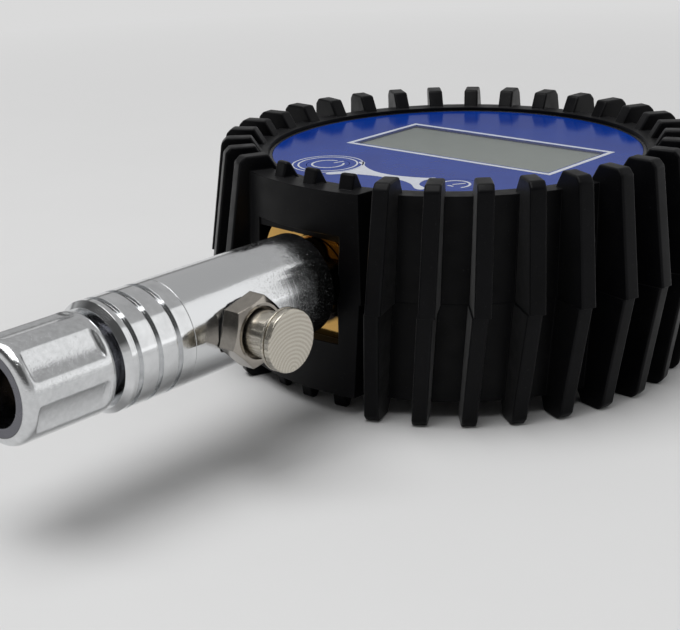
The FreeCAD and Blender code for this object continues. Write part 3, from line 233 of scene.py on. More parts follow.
def makeMetal(name, color, roughness, stretch=(1, 1, 1), depth=0.004, cloud=2.5, edge=0.12, pits=0.0):
    material, tree, shader = newMaterial(name, color, roughness, 1.0)
    height = noise(tree, metal["scratch"], place(tree, stretch), 3.0)
    clouds = noise(tree, cloud)
    darker = [c * metal["darker"] for c in color]
    paint(tree, shader, "Base Color", ramp(tree, clouds, 0.3, 0.7, darker, color))
    paint(tree, shader, "Roughness", spread(tree, clouds, roughness * 0.7, roughness * 1.4, 0.3, 0.7))
    if pits:
        spots = spread(tree, noise(tree, metal["pit"], detail=1.0), 0.0, -pits, 0.60, 0.70)
        height = combine(tree, "ADD", height, spots)
    surface(tree, shader, height, depth, 0.5, edge)
    return material


# The chrome of the stem: rings round it from the lathe, and towards the gauge a dark end with bright specks,
# which is painted shade and painted reflection of the dark boot
stem = {
    "color": (0.71, 0.72, 0.73),
    "dark": 0.07,  # share of the colour left at the dark end
    "roughness": (0.14, 0.238),  # clean, and at the dark end
    "ringPitch": 0.30,
    "scratch": 0.3,
    "pit": 0.2,
    "pitsFrom": -56.0,  # places along Y
    "pitsTo": -41.0,
    "darkFrom": -45.0,
    "darkTo": -41.5,
    "ragged": 5.0,  # how far the border of the dark end strays
    "raggedGrain": 3.0,
    "speck": 0.22,
    "depth": 0.014,
    "edge": 0.15,
}


def makeStemChrome():
    material, tree, shader = newMaterial("stemChrome", stem["color"], stem["roughness"][0], 1.0)
    along = separate(tree, place(tree))["Y"]
    worn = spread(tree, along, 0.0, 1.0, stem["pitsFrom"] * mm, stem["pitsTo"] * mm)
    stray = spread(tree, noise(tree, stem["raggedGrain"], detail=8.0, rough=0.8), -stem["ragged"] * mm,
                   stem["ragged"] * mm)
    # Painted shade: the colour darkens towards the gauge, standing for the dark boot's reflection and shadow
    # on the stem
    paintedDarkEnd = spread(tree, combine(tree, "ADD", along, stray), 0.0, 1.0, stem["darkFrom"] * mm,
                   stem["darkTo"] * mm)
    specks = spread(tree, noise(tree, stem["speck"], detail=3.0), 1.0, 0.25, 0.60, 0.68)
    darker = [c * stem["dark"] for c in stem["color"]]
    paint(tree, shader, "Base Color",
          ramp(tree, combine(tree, "MULTIPLY", paintedDarkEnd, specks), 0.0, 1.0, stem["color"], darker))
    paint(tree, shader, "Roughness", spread(tree, paintedDarkEnd, *stem["roughness"]))
    rings = noise(tree, stem["ringPitch"], place(tree, (30, 1, 30)), 2.0)
    scratches = noise(tree, stem["scratch"], place(tree, (1, 14, 1), (0, 0, 3)), 2.0)
    holes = spread(tree, noise(tree, stem["pit"], detail=2.0), 0.0, -3.0, 0.60, 0.68)
    marks = combine(tree, "ADD", rings, scratches)
    height = combine(tree, "ADD", marks, combine(tree, "MULTIPLY", worn, holes))
    surface(tree, shader, height, stem["depth"], 0.6, stem["edge"])
    return material


# Nickel with the arcs that a milling cutter leaves across the press disc
disc = {
    "color": (0.64, 0.60, 0.52),
    "darker": 0.80,
    "roughness": 0.24,
    "roughPatch": 1.5,
    "pitch": 0.54,
    "centre": (16.2, gauge["valveY"], 16.2),
    "stretch": 0.16,
    "ringRun": 0.05,  # one ring of Blender's wave pattern, times the stretch
    "wobble": 2.2,
    "depth": 0.022,
    "edge": 0.18,
}


def makeDiscNickel():
    material, tree, shader = newMaterial("discNickel", disc["color"], disc["roughness"], 1.0)
    wave = addNode(tree, "ShaderNodeTexWave", wave_type="RINGS", rings_direction="X",
                   Scale=disc["ringRun"] / (disc["pitch"] * mm), Distortion=disc["wobble"], Detail=1.0)
    wave.inputs["Detail Scale"].default_value = 0.6
    tree.links.new(place(tree, (disc["stretch"],) * 3, centre=disc["centre"]), wave.inputs["Vector"])
    arcs = wave.outputs["Fac"]
    darker = [c * disc["darker"] for c in disc["color"]]
    paint(tree, shader, "Base Color", ramp(tree, arcs, 0.1, 0.9, darker, disc["color"]))
    paint(tree, shader, "Roughness", spread(tree, noise(tree, disc["roughPatch"]), disc["roughness"] * 0.8,
                                            disc["roughness"] * 1.3))
    surface(tree, shader, arcs, disc["depth"], 0.6, disc["edge"])
    return material


# Brass with painted shade round the stem's axis, darkening the flange beside the stem; its upper part is left
# bright
brass = {"color": (0.60, 0.36, 0.11), "roughness": 0.09, "paintedShade": (0.012, 0.010, 0.009), "paintedShadeFrom": 6.7,
         "paintedShadeTo": 7.3, "ragged": 0.3, "raggedGrain": 1.5, "topFrom": 2.6, "topTo": 3.0}


def makeBrass():
    material = makeMetal("brass", brass["color"], brass["roughness"], (1, 1, 0.2), edge=0.0)
    tree = material.node_tree
    shader = tree.nodes["Principled BSDF"]
    clean = shader.inputs["Base Color"].links[0].from_socket
    # Painted shade: the brass near the stem and below its upper strip is darkened to near black
    across = place(tree, (1, 0, 1), centre=(0, 0, gauge["stemHeight"]))
    stray = spread(tree, noise(tree, brass["raggedGrain"]), -brass["ragged"] * mm, brass["ragged"] * mm)
    reach = combine(tree, "ADD", lengthOf(tree, across), stray)
    near = spread(tree, reach, 1.0, 0.0, brass["paintedShadeFrom"] * mm, brass["paintedShadeTo"] * mm)
    below = spread(tree, separate(tree, across)["Z"], 1.0, 0.0, brass["topFrom"] * mm, brass["topTo"] * mm)
    paintedShadeBrass = tint(tree, combine(tree, "MULTIPLY", near, below), clean, brass["paintedShade"])
    paint(tree, shader, "Base Color", paintedShadeBrass)
    return material


pane = {"body": (0.9, 0.92, 0.92), "through": (0.93, 0.95, 0.94), "roughness": 0.09, "ior": 1.48}


# A clear sheet that mirrors on its outer side only
def makePane():
    material, tree, shader = newMaterial("clearPane", pane["body"], 0.08)
    clear = addNode(tree, "ShaderNodeBsdfTransparent", Color=(*pane["through"], 1))
    gloss = addNode(tree, "ShaderNodeBsdfGlossy", Roughness=pane["roughness"])
    mirror = addNode(tree, "ShaderNodeFresnel", IOR=pane["ior"])
    outside = spread(tree, addNode(tree, "ShaderNodeNewGeometry").outputs["Backfacing"], 1.0, 0.0)
    share = combine(tree, "MULTIPLY", mirror.outputs["Fac"], outside)
    mixShaders(tree, share, clear.outputs["BSDF"], gloss.outputs["BSDF"])
    return material


crystal = {"dark": (0.235, 0.24, 0.235), "light": (0.265, 0.27, 0.265), "patch": 4.0, "roughness": 0.35}


def makeCrystal():
    material, tree, shader = newMaterial("crystalGrey", crystal["dark"], crystal["roughness"])
    paint(tree, shader, "Base Color",
          ramp(tree, noise(tree, crystal["patch"]), 0.3, 0.7, crystal["dark"], crystal["light"]))
    return material


looks = {
    "rubber": makeRubber(),
    "case": makePlastic("caseBlack", (0.005, 0.005, 0.006)),
    "rim": makePlastic("rimBlack", (0.004, 0.004, 0.005), 0.24, specular=0.45),
    "blue": makeBlue(),
    "white": makeInk(),
    "pane": makePane(),
    "crystal": makeCrystal(),
    "frame": makePlastic("frameGrey", (0.10, 0.10, 0.11)),
    "strip": makePlastic("stripPink", (0.32, 0.12, 0.13), 0.5),
    "board": makePlastic("boardGreen", (0.01, 0.085, 0.03), 0.3, 0.6),
    "switch": makePlastic("switchBlack", (0.02, 0.02, 0.02)),
    "sensor": makeMetal("sensorCan", (0.6, 0.6, 0.58), 0.3),
    "seal": makePlastic("sealBlack", (0.004, 0.004, 0.0045), 0.4),
    "brass": makeBrass(),
    "cell": makePlastic("cellSleeve", (0.015, 0.06, 0.05), 0.3),
    "contact": makeMetal("contactSpring", (0.68, 0.68, 0.66), 0.25, (1, 1, 0.2)),
    "cover": makePlastic("coverBlack", (0.006, 0.006, 0.007), 0.45),
    "screw": makeMetal("screwSteel", (0.35, 0.35, 0.36), 0.3, (0.2, 1, 1)),
    "chrome": makeStemChrome(),
    "collar": makeMetal("collarChrome", (0.76, 0.77, 0.78), 0.10, (30, 1, 30), depth=0.006, edge=0.06),
    "cast": makeMetal("castChrome", (0.72, 0.73, 0.74), 0.14, depth=0.020, cloud=0.8, edge=0.40, pits=0.6),
    "nickel": makeMetal("nickel", (0.40, 0.37, 0.33), 0.14, (1, 30, 30), depth=0.008, cloud=1.4, edge=0.18),
    "disc": makeDiscNickel(),
    "darkSteel": makeMetal("darkSteel", (0.16, 0.16, 0.18), 0.22, (30, 1, 30)),
    "spring": makeMetal("springSteel", (0.55, 0.55, 0.56), 0.22),
    "filter": makeMetal("filterMesh", (0.45, 0.36, 0.25), 0.5, depth=0.05),
}
nodeLooks = {
    "rubber_boot": "rubber", "rear_case": "case", "front_case": "rim", "face_overlay": "blue",
    "display_window": "pane", "power_button": "blue", "unit_button": "blue", "display_module": "crystal",
    "display_carrier": "frame", "contact_strip_front": "strip", "contact_strip_back": "strip",
    "circuit_board": "board", "power_switch": "switch", "unit_switch": "switch",
    "pressure_sensor": "sensor", "sensor_seal": "seal", "battery_left": "cell", "battery_right": "cell",
    "contact_plate_left": "contact", "contact_plate_right": "contact", "battery_cover": "cover",
    "cover_screw": "screw", "case_screw_1": "screw", "case_screw_2": "screw", "case_screw_3": "screw",
    "case_screw_4": "screw", "brass_manifold": "brass", "manifold_nut": "brass", "stem_body": "chrome",
    "neck_ring": "brass", "stem_oring": "seal", "valve_body": "nickel", "valve_washer": "seal",
    "bleed_plunger": "disc", "bleed_poppet": "nickel", "poppet_seal": "seal", "bleed_spring": "spring",
    "grooved_collar": "collar", "swivel_spigot": "darkSteel", "swivel_oring_front": "seal",
    "swivel_oring_back": "seal", "swivel_washer": "seal", "grip_sleeve": "cast", "inlet_filter": "filter",
    "inlet_washer": "seal",
}
for node, look in nodeLooks.items():
    materials = nodes[node].data.materials
    materials.clear()
    materials.append(looks[look])
print("materials made:", len(looks))


# Pieces: small helpers, then the boot, the spring and the prints on the face
def addObject(name, data):
    item = bpy.data.objects.new(name, data)
    bpy.context.scene.collection.objects.link(item)
    return item


def asData(mesh, name):
    data = bpy.data.meshes.new(name)
    mesh.to_mesh(data)
    mesh.free()
    return data


def turnCorners(mesh, corners, degrees, axis="Z"):
    matrix = Matrix.Rotation(math.radians(degrees), 3, axis)
    bmesh.ops.rotate(mesh, verts=corners, cent=(0, 0, 0), matrix=matrix)


# Cuts every face where a plane crosses it
def cutAt(mesh, point, normal, **options):
    bmesh.ops.bisect_plane(mesh, geom=mesh.verts[:] + mesh.edges[:] + mesh.faces[:], plane_co=point,
                           plane_no=normal, **options)


def closedOutline(mesh, points):
    return mesh.faces.new([mesh.verts.new(point) for point in points])


def rectangle(mesh, size, height):
    x, y = size[0] / 2, size[1] / 2
    return closedOutline(mesh, [(-x, -y, height), (x, -y, height), (x, y, height), (-x, y, height)])


# Turns a section of radii and heights about Z: into a ring, or into an arc with closed ends
def spinSection(mesh, section, steps, start=0.0, sweep=360.0):
    full = sweep >= 360
    corners = [mesh.verts.new((radius, 0, height)) for radius, height in section]
    sides = [mesh.edges.new((corners[i - 1], corners[i])) for i in range(len(corners))]
    ends = [] if full else [mesh.faces.new(corners)]
    turnCorners(mesh, corners, start)
    bmesh.ops.spin(mesh, geom=corners + sides + ends, cent=(0, 0, 0), axis=(0, 0, 1),
                   angle=math.radians(sweep), steps=steps, use_merge=full)


# Pulls faces out into a block and turns its faces outwards
def thicken(mesh, faces, along):
    pulled = bmesh.ops.extrude_face_region(mesh, geom=faces)["geom"]
    corners = [part for part in pulled if isinstance(part, bmesh.types.BMVert)]
    bmesh.ops.translate(mesh, verts=corners, vec=along)
    bmesh.ops.recalc_face_normals(mesh, faces=mesh.faces[:])
    return corners


# Rounds edges by a bevel of some steps
def roundEdges(mesh, edges, size, steps=3):
    bmesh.ops.bevel(mesh, geom=edges, offset=size, offset_type="OFFSET", affect="EDGES", segments=steps,
                    profile=0.5, material=-1, clamp_overlap=True)


def addCopy(mesh, data, turn):
    known = len(mesh.verts)
    mesh.from_mesh(data)
    mesh.verts.ensure_lookup_table()
    turnCorners(mesh, mesh.verts[known:], turn)


# Takes closed tool meshes out of a closed mesh
def carve(data, tools):
    block = addObject("block", data)
    helpers = []
    for tool in tools:
        helper = addObject("tool", tool)
        cut = block.modifiers.new("cut", "BOOLEAN")
        cut.operation = "DIFFERENCE"
        cut.solver = "EXACT"
        cut.object = helper
        helpers.append(helper)
    graph = bpy.context.evaluated_depsgraph_get()
    carved = bpy.data.meshes.new_from_object(block.evaluated_get(graph))
    for helper in [block, *helpers]:
        bpy.data.objects.remove(helper)
    return carved


# Ends a mesh: millimetres to metres, smooth faces with sharp corners kept, one object for it
def finishPiece(mesh, name, look, body, sharp=32.0):
    bmesh.ops.scale(mesh, vec=(mm, mm, mm), verts=mesh.verts)
    for side in mesh.faces:
        side.smooth = True
    data = asData(mesh, name)
    data.set_sharp_from_angle(angle=math.radians(sharp))
    data.materials.append(looks[look])
    piece = addObject(name, data)
    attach(piece, body)
    return piece


# The rubber boot, drawn with the stem's direction along its own X axis and then turned onto the case
boot = {
    "turn": -92.9,  # from +X to the boot's window
    "parting": 17.65,
    "shell": [(27.0, 2.6), (33.2, 2.6), (33.49, 17.55), (33.58, 17.65), (33.49, 17.75), (33.2, 33.5),
              (30.2, 33.5), (30.2, 32.1), (31.05, 32.1), (31.05, 4.0), (27.0, 4.0)],
    "shellSteps": 128,
    "shellEdge": 0.3,
    "shellCorner": 0.7,  # radians; sharper rims are rounded
    "caseRadius": 31.0,
    "places": 32,
    "nubs": 3,  # places over the pad, which have nubs for ribs
    "ribRoot": 32.3,
    "ribEdge": 0.34,
    "upperRib": [(32.3, 17.65), (40.0, 17.65), (37.5, 35.2), (36.6, 36.1), (32.7, 36.1), (31.1, 33.5),
                 (31.1, 32.5), (32.3, 32.5)],
    "lowerRib": [(32.3, 3.6), (31.1, 3.6), (31.1, 2.6), (32.7, 0.0), (36.3, 0.0), (37.2, 0.9),
                 (39.75, 17.65), (32.3, 17.65)],
    "upperNub": [(32.3, 32.5), (34.3, 32.5), (34.3, 33.5), (33.6, 36.1), (32.7, 36.1), (31.1, 33.5),
                 (31.1, 32.5)],
    "lowerNub": [(32.3, 3.6), (31.1, 3.6), (31.1, 2.6), (32.7, 0.0), (33.6, 0.0), (34.3, 2.6), (34.3, 3.6)],
    "upperWidth": 2.45,
    "lowerWidth": 2.3,
    "upperLean": 2.3,
    "lowerLean": 4.4,
    "upperShift": 0.0,
    "lowerShift": -0.3,
    "padRadius": 36.4,
    "padDraft": 0.5,
    "padFoot": 2.9,
    "padTop": 33.9,
    "padSides": [(-14.74, 2.9), (9.27, 2.9), (10.8, 17.65), (11.1, 17.65), (10.65, 33.9), (-12.65, 33.9),
                 (-13.3, 17.65), (-13.6, 17.65)],
    "padStrips": range(-14, 11, 2),
    "padEdge": 0.38,
    "padCorner": 0.6,  # radians; sharper edges in front are rounded
    "padFront": 35.65,
    "window": [(-9.87, 11.1), (7.13, 11.1), (7.67, 26.3), (-9.33, 26.3)],
    "lintel": [(-9.33, 25.1), (7.67, 25.1), (7.67, 27.5), (-9.33, 27.5)],
    "lintelFloor": 34.65,
    "toolFrom": 28.0,
    "toolTo": 38.0,
    "flangeRadius": 10.8,
    "flangeFlat": 8.2,
    "flangeFront": 34.05,
    "flangeDepth": 7.0,
    "flangeSteps": 96,
    "sharp": 40.0,
}


def makeShell():
    mesh = bmesh.new()
    spinSection(mesh, boot["shell"], boot["shellSteps"])
    bmesh.ops.remove_doubles(mesh, verts=mesh.verts[:], dist=0.001)
    bmesh.ops.recalc_face_normals(mesh, faces=mesh.faces[:])
    rims = []
    for edge in mesh.edges:
        first, second = (corner.co for corner in edge.verts)
        level = abs(first.z - second.z) < 0.01
        if level and edge.calc_face_angle(0) > boot["shellCorner"] and first.xy.length > boot["caseRadius"]:
            rims.append(edge)
    roundEdges(mesh, rims, boot["shellEdge"])
    return asData(mesh, "shell")


# One rib half or nub from its outline, with its free edges rounded, then leant from the parting line
def makeRib(half, kind):
    mesh = bmesh.new()
    width = boot[half + "Width"]
    side = closedOutline(mesh, [(x, -width / 2, z) for x, z in boot[half + kind]])
    thicken(mesh, [side], (0, width, 0))
    free = [edge for edge in mesh.edges
            if not all(abs(corner.co.x - boot["ribRoot"]) < 0.01 for corner in edge.verts)
            and not all(abs(corner.co.z - boot["parting"]) < 0.01 for corner in edge.verts)]
    roundEdges(mesh, free, boot["ribEdge"])
    slope = math.tan(math.radians(boot[half + "Lean"]))
    for corner in mesh.verts:
        corner.co.y += (corner.co.z - boot["parting"]) * slope + boot[half + "Shift"]
    return asData(mesh, half + kind)


# A block that cuts an opening straight in through the boot's front
def makeTool(outline, start):
    mesh = bmesh.new()
    side = closedOutline(mesh, [(start, y, z) for y, z in outline])
    thicken(mesh, [side], (boot["toolTo"] - start, 0, 0))
    return asData(mesh, "tool")


# The room for the brass flange, a disc with one flat side
def makeFlangeTool():
    mesh = bmesh.new()
    bmesh.ops.create_cone(mesh, cap_ends=True, segments=boot["flangeSteps"], radius1=boot["flangeRadius"],
                          radius2=boot["flangeRadius"], depth=boot["flangeDepth"])
    cutAt(mesh, (boot["flangeFlat"], 0, 0), (1, 0, 0), clear_outer=True)
    bmesh.ops.holes_fill(mesh, edges=mesh.edges[:], sides=0)
    turnCorners(mesh, mesh.verts, 90, "X")
    middle = boot["flangeDepth"] / 2 - boot["flangeFront"]
    bmesh.ops.translate(mesh, verts=mesh.verts, vec=(0, middle, gauge["stemHeight"]))
    bmesh.ops.recalc_face_normals(mesh, faces=mesh.faces[:])
    turnCorners(mesh, mesh.verts, -boot["turn"])
    return asData(mesh, "tool")


def padRadius(height):
    reach = boot["padTop"] - boot["parting"] if height > boot["parting"] else boot["parting"] - boot["padFoot"]
    return boot["padRadius"] - boot["padDraft"] * abs(height - boot["parting"]) / reach


# The raised pad: a flat outline cut into strips, thickened and bent round the wall
def makePad():
    mesh = bmesh.new()
    closedOutline(mesh, [(0, y, z) for y, z in boot["padSides"]])
    for y in boot["padStrips"]:
        cutAt(mesh, (0, y, 0), (0, 1, 0))
    cutAt(mesh, (0, 0, boot["parting"]), (0, 0, 1))
    backs = thicken(mesh, mesh.faces[:], (boot["ribRoot"] - boot["padRadius"], 0, 0))
    for corner in mesh.verts:
        radius = boot["ribRoot"] if corner in backs else padRadius(corner.co.z)
        corner.co.x = math.sqrt(radius ** 2 - corner.co.y ** 2)
    bmesh.ops.recalc_face_normals(mesh, faces=mesh.faces[:])
    return asData(mesh, "pad")


def makeBoot():
    window = makeTool(boot["window"], boot["toolFrom"])
    lintel = makeTool(boot["lintel"], boot["lintelFloor"])
    flange = makeFlangeTool()
    shell = carve(makeShell(), [window, flange])
    pad = bmesh.new()
    pad.from_mesh(carve(makePad(), [window, flange, lintel]))
    fronts = [edge for edge in pad.edges if edge.calc_face_angle(0) > boot["padCorner"]
              and min(corner.co.xy.length for corner in edge.verts) > boot["padFront"]]
    roundEdges(pad, fronts, boot["padEdge"])

    whole = bmesh.new()
    whole.from_mesh(shell)
    addCopy(whole, asData(pad, "pad"), 0)
    ribs = {kind: [makeRib("upper", kind), makeRib("lower", kind)] for kind in ("Rib", "Nub")}
    for k in range(boot["places"]):
        overPad = (k + 1) % boot["places"] < boot["nubs"]
        for data in ribs["Nub" if overPad else "Rib"]:
            addCopy(whole, data, 360 / boot["places"] * k)
    turnCorners(whole, whole.verts, boot["turn"])

    piece = finishPiece(whole, "ribbedBoot", "rubber", "gauge", boot["sharp"])
    normals = piece.modifiers.new("flatSides", "WEIGHTED_NORMAL")
    normals.keep_sharp = True
    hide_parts("rubber_boot")


makeBoot()
print("boot made")

# The return spring shortens with the press disc in the gauge; here a merged copy of it stands for the solid,
# at one length
spring = {"seat": (7.95, gauge["valveY"], gauge["stemHeight"]), "length": 5.6, "travel": 2.0, "sharp": 60.0}


def makeSpring():
    mesh = bmesh.new()
    mesh.from_mesh(nodes["bleed_spring"].data)
    bmesh.ops.scale(mesh, vec=(1 / mm, 1 / mm, 1 / mm), verts=mesh.verts)
    bmesh.ops.remove_doubles(mesh, verts=mesh.verts[:], dist=0.0002)
    piece = finishPiece(mesh, "returnSpring", "spring", "gauge", spring["sharp"])
    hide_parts("bleed_spring")
    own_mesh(piece)


makeSpring()
print("spring made")

# A grey film bonded under the pane, so that the unlit display looks even from any side
film = {"size": (37.4, 15.8), "centre": (2.6, 2.2), "low": 32.51, "thick": 0.03, "corner": 0.3}


def makeFilm():
    mesh = bmesh.new()
    sheet = rectangle(mesh, film["size"], film["low"])
    thicken(mesh, [sheet], (0, 0, film["thick"]))
    corners = [edge for edge in mesh.edges
               if abs(edge.verts[0].co.z - edge.verts[1].co.z) > film["thick"] / 2]
    roundEdges(mesh, corners, film["corner"], 4)
    bmesh.ops.translate(mesh, verts=mesh.verts, vec=(*film["centre"], 0))
    finishPiece(mesh, "displayFilm", "crystal", "gauge")


makeFilm()
print("film made")

# Prints on the face: a border round the display, rings and a band between the buttons, plain symbols
prints = {
    "height": gauge["faceHeight"],
    "thick": 0.03,
    "border": (39.7, 18.3),
    "borderWidth": 1.1,
    "rings": [(5.38, 5.62), (4.45, 4.72)],  # inner and outer radius
    "ringSteps": 72,
    "band": [(-6.4, -16.0), (-4.1, -17.8), (-0.6, -19.6), (2.6, -20.0), (5.2, -19.6), (8.2, -18.6),
             (9.7, -17.8), (9.1, -19.7), (9.8, -22.0), (12.2, -24.1), (11.8, -24.6), (8.4, -22.5),
             (5.9, -21.7), (3.1, -21.7), (-0.4, -22.2), (-3.3, -23.4), (-5.8, -25.0), (-4.5, -22.4),
             (-4.1, -20.0), (-4.6, -17.9)],
    "bandSteps": 8,
    # The bars of a symbol have a size, a turn and a place beside the button's centre
    "powerMark": {"centre": (-9.8, -20.0), "ring": (2.3, 2.62), "start": 95.0, "sweep": 310.0,
                  "bars": [((1.7, 0.32), 70, (0.62, 1.9))]},
    "dialMark": {"centre": (14.2, -19.2), "ring": (2.0, 2.35), "start": -30.0, "sweep": 240.0,
                 "bars": [((2.0, 0.34), 55, (0.35, 0.5)), ((1.0, 0.34), 0, (0.0, -1.1))]},
}


def makeRing(mesh, inner, outer, start=0.0, sweep=360.0):
    low, high = prints["height"], prints["height"] + prints["thick"]
    section = [(inner, low), (outer, low), (outer, high), (inner, high)]
    spinSection(mesh, section, prints["ringSteps"], start, sweep)


def makeBar(mesh, size, turn, offset):
    plate = rectangle(mesh, size, prints["height"])
    corners = list(plate.verts)
    corners += thicken(mesh, [plate], (0, 0, prints["thick"]))
    turnCorners(mesh, corners, turn)
    bmesh.ops.translate(mesh, verts=corners, vec=(*offset, 0))


def finishPrint(mesh, centre, name, body="gauge"):
    bmesh.ops.translate(mesh, verts=mesh.verts, vec=(*centre, 0))
    bmesh.ops.remove_doubles(mesh, verts=mesh.verts[:], dist=0.0005)
    bmesh.ops.recalc_face_normals(mesh, faces=mesh.faces[:])
    finishPiece(mesh, name, "white", body)


def makeBorder():
    mesh = bmesh.new()
    plate = rectangle(mesh, prints["border"], prints["height"])
    mesh.normal_update()
    bmesh.ops.inset_region(mesh, faces=[plate], thickness=prints["borderWidth"], use_boundary=True)
    bmesh.ops.delete(mesh, geom=[plate], context="FACES")
    thicken(mesh, mesh.faces[:], (0, 0, prints["thick"]))
    finishPrint(mesh, film["centre"], "displayBorder")


# A tapering band from the left button's rings to the right button, smoothed from a few points
def makeBand():
    curve = bpy.data.curves.new("band", "CURVE")
    curve.dimensions = "2D"
    curve.fill_mode = "BOTH"
    curve.resolution_u = prints["bandSteps"]
    line = curve.splines.new("BEZIER")
    line.bezier_points.add(len(prints["band"]) - 1)
    for point, (x, y) in zip(line.bezier_points, prints["band"]):
        point.co = (x, y, 0)
        point.handle_left_type = point.handle_right_type = "AUTO"
    line.use_cyclic_u = True
    shape = bpy.data.objects.new("band", curve)
    mesh = bmesh.new()
    mesh.from_mesh(bpy.data.meshes.new_from_object(shape))
    bpy.data.objects.remove(shape)
    bmesh.ops.remove_doubles(mesh, verts=mesh.verts[:], dist=0.001)
    bmesh.ops.dissolve_limit(mesh, angle_limit=0.01, verts=mesh.verts[:], edges=mesh.edges[:])
    bmesh.ops.translate(mesh, verts=mesh.verts, vec=(0, 0, prints["height"]))
    thicken(mesh, mesh.faces[:], (0, 0, prints["thick"]))
    finishPrint(mesh, (0, 0), "sweepBand")


def makeRings():
    mesh = bmesh.new()
    for inner, outer in prints["rings"]:
        makeRing(mesh, inner, outer)
    finishPrint(mesh, prints["powerMark"]["centre"], "buttonRings")


# A symbol of an open ring and bars, on a button that moves
def makeMark(name, body):
    mark = prints[name]
    mesh = bmesh.new()
    makeRing(mesh, *mark["ring"], mark["start"], mark["sweep"])
    for size, turn, offset in mark["bars"]:
        makeBar(mesh, size, turn, offset)
    finishPrint(mesh, mark["centre"], name, body)


makeBorder()
makeBand()
makeRings()
makeMark("powerMark", "power_key")
makeMark("dialMark", "unit_key")
print("prints made")

# A sheet of pale paper under the gauge
paper = {"size": 6000.0, "color": (0.70, 0.70, 0.70), "patch": 40.0, "roughness": 0.8,
         "farColor": (0.70, 0.70, 0.70), "fadeFrom": 150.0, "fadeTo": 420.0}


def makeFloor():
    mesh = bmesh.new()
    bmesh.ops.create_grid(mesh, x_segments=1, y_segments=1, size=paper["size"] / 2 * mm)
    floor = addObject("paperFloor", asData(mesh, "paperFloor"))
    material, tree, shader = newMaterial("paper", paper["color"], paper["roughness"])
    floor.data.materials.append(material)
    greyer = [c * 0.985 for c in paper["color"]]
    paint(tree, shader, "Base Color",
          ramp(tree, noise(tree, paper["patch"]), 0.3, 0.7, greyer, paper["color"]))
    # Far from the gauge the paper shows its own pale colour, whatever light reaches it there
    away = lengthOf(tree, place(tree))
    far = spread(tree, away, 0.0, 1.0, paper["fadeFrom"] * mm, paper["fadeTo"] * mm)
    direct, mirrored = rayKinds(tree)
    seen = combine(tree, "MAXIMUM", direct, mirrored)
    pale = addNode(tree, "ShaderNodeEmission", Strength=1.0, Color=(*paper["farColor"], 1))
    mixShaders(tree, combine(tree, "MULTIPLY", far, seen), shader.outputs["BSDF"], pale.outputs["Emission"])


makeFloor()
print("floor made")

# An even sky with two dim places: high up in front of the gauge, and low at its back left.
# Their borders are values of the view direction's Y or Z, or of its share towards the back left.
sky = {"level": 0.46, "dimLevel": 0.09, "frontY": (-0.3, 0.1), "frontZ": (0.2, 0.35),
       "backLeft": (-0.66, 0.75, 0), "backLeftShare": (0.45, 0.8), "backLeftZ": (0.19, 0.24),
       "horizonZ": (0.10, 0.15)}


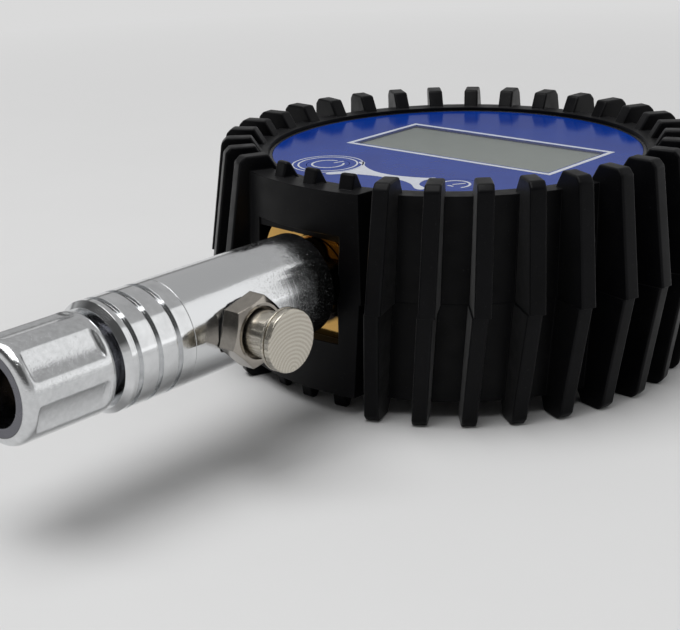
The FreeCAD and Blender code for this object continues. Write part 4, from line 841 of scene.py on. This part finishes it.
def makeSky():
    world = bpy.data.worlds.new("studio")
    bpy.context.scene.world = world
    world.use_nodes = True
    tree = world.node_tree
    direction = addNode(tree, "ShaderNodeTexCoord").outputs["Generated"]
    axes = separate(tree, direction)
    leftwards = addNode(tree, "ShaderNodeVectorMath", operation="DOT_PRODUCT")
    leftwards.inputs[1].default_value = sky["backLeft"]
    tree.links.new(direction, leftwards.inputs[0])
    inFront = combine(tree, "MULTIPLY", spread(tree, axes["Y"], 1.0, 0.0, *sky["frontY"]),
                      spread(tree, axes["Z"], 0.0, 1.0, *sky["frontZ"]))
    lowDown = combine(tree, "MULTIPLY",
                      spread(tree, leftwards.outputs["Value"], 0.0, 1.0, *sky["backLeftShare"]),
                      spread(tree, axes["Z"], 1.0, 0.0, *sky["backLeftZ"]))
    dimness = combine(tree, "MAXIMUM", inFront, lowDown)
    studio = ramp(tree, dimness, 0.0, 1.0, (sky["level"],) * 3, (sky["dimLevel"],) * 3)
    # Beyond the paper the backdrop goes on pale, for the eye and in low reflections
    direct, mirrored = rayKinds(tree)
    low = combine(tree, "MULTIPLY", spread(tree, axes["Z"], 1.0, 0.0, *sky["horizonZ"]), mirrored)
    backdrop = tint(tree, combine(tree, "MAXIMUM", direct, low), studio, paper["farColor"])
    tree.links.new(backdrop, tree.nodes["Background"].inputs["Color"])


makeSky()
print("sky made")

# Two soft boxes; power is in watts
lamps = {
    "overhead": {"at": (-110, -220, 850), "aim": (0, -20, 20), "size": (720, 720), "power": 6.5},
    "behind": {"at": (470, 470, 330), "aim": (0, -40, 40), "size": (560, 620), "power": 0.62},
}
for name, lamp in lamps.items():
    light = bpy.data.lights.new(name, "AREA")
    light.shape = "RECTANGLE"
    light.size, light.size_y = (side * mm for side in lamp["size"])
    light.energy = lamp["power"]
    item = addObject(name, light)
    item.location = Vector(lamp["at"]) * mm
    item.rotation_euler = (Vector(lamp["aim"]) - Vector(lamp["at"])).to_track_quat("-Z", "Y").to_euler()
print("lamps made:", len(lamps))

# The photograph's viewpoint; the focal length is in pixels of its 680 by 630 frame
shot = {"azimuth": 41.689, "elevation": 19.083, "roll": -1.782, "at": (140.269, -186.756, 85.678),
        "focal": 1478.12, "imageWidth": 680, "sensor": 36.0}


def makeCamera():
    azimuth, elevation, roll = (math.radians(shot[key]) for key in ("azimuth", "elevation", "roll"))
    back = Vector((math.sin(azimuth) * math.cos(elevation), -math.cos(azimuth) * math.cos(elevation),
                   math.sin(elevation)))
    right = Vector((0, 0, 1)).cross(back).normalized()
    up = back.cross(right)
    rolledRight = right * math.cos(roll) + up * math.sin(roll)
    rolledUp = up * math.cos(roll) - right * math.sin(roll)
    turned = Matrix((rolledRight, rolledUp, back)).transposed().to_4x4()
    data = bpy.data.cameras.new("photoCamera")
    data.sensor_width = shot["sensor"]
    data.lens = shot["focal"] / shot["imageWidth"] * shot["sensor"]
    data.clip_start = 0.01
    camera = addObject("photoCamera", data)
    camera.matrix_world = Matrix.Translation(Vector(shot["at"]) * mm) @ turned
    bpy.context.scene.camera = camera


makeCamera()
bpy.context.scene.view_settings.view_transform = "Standard"
print("camera made")
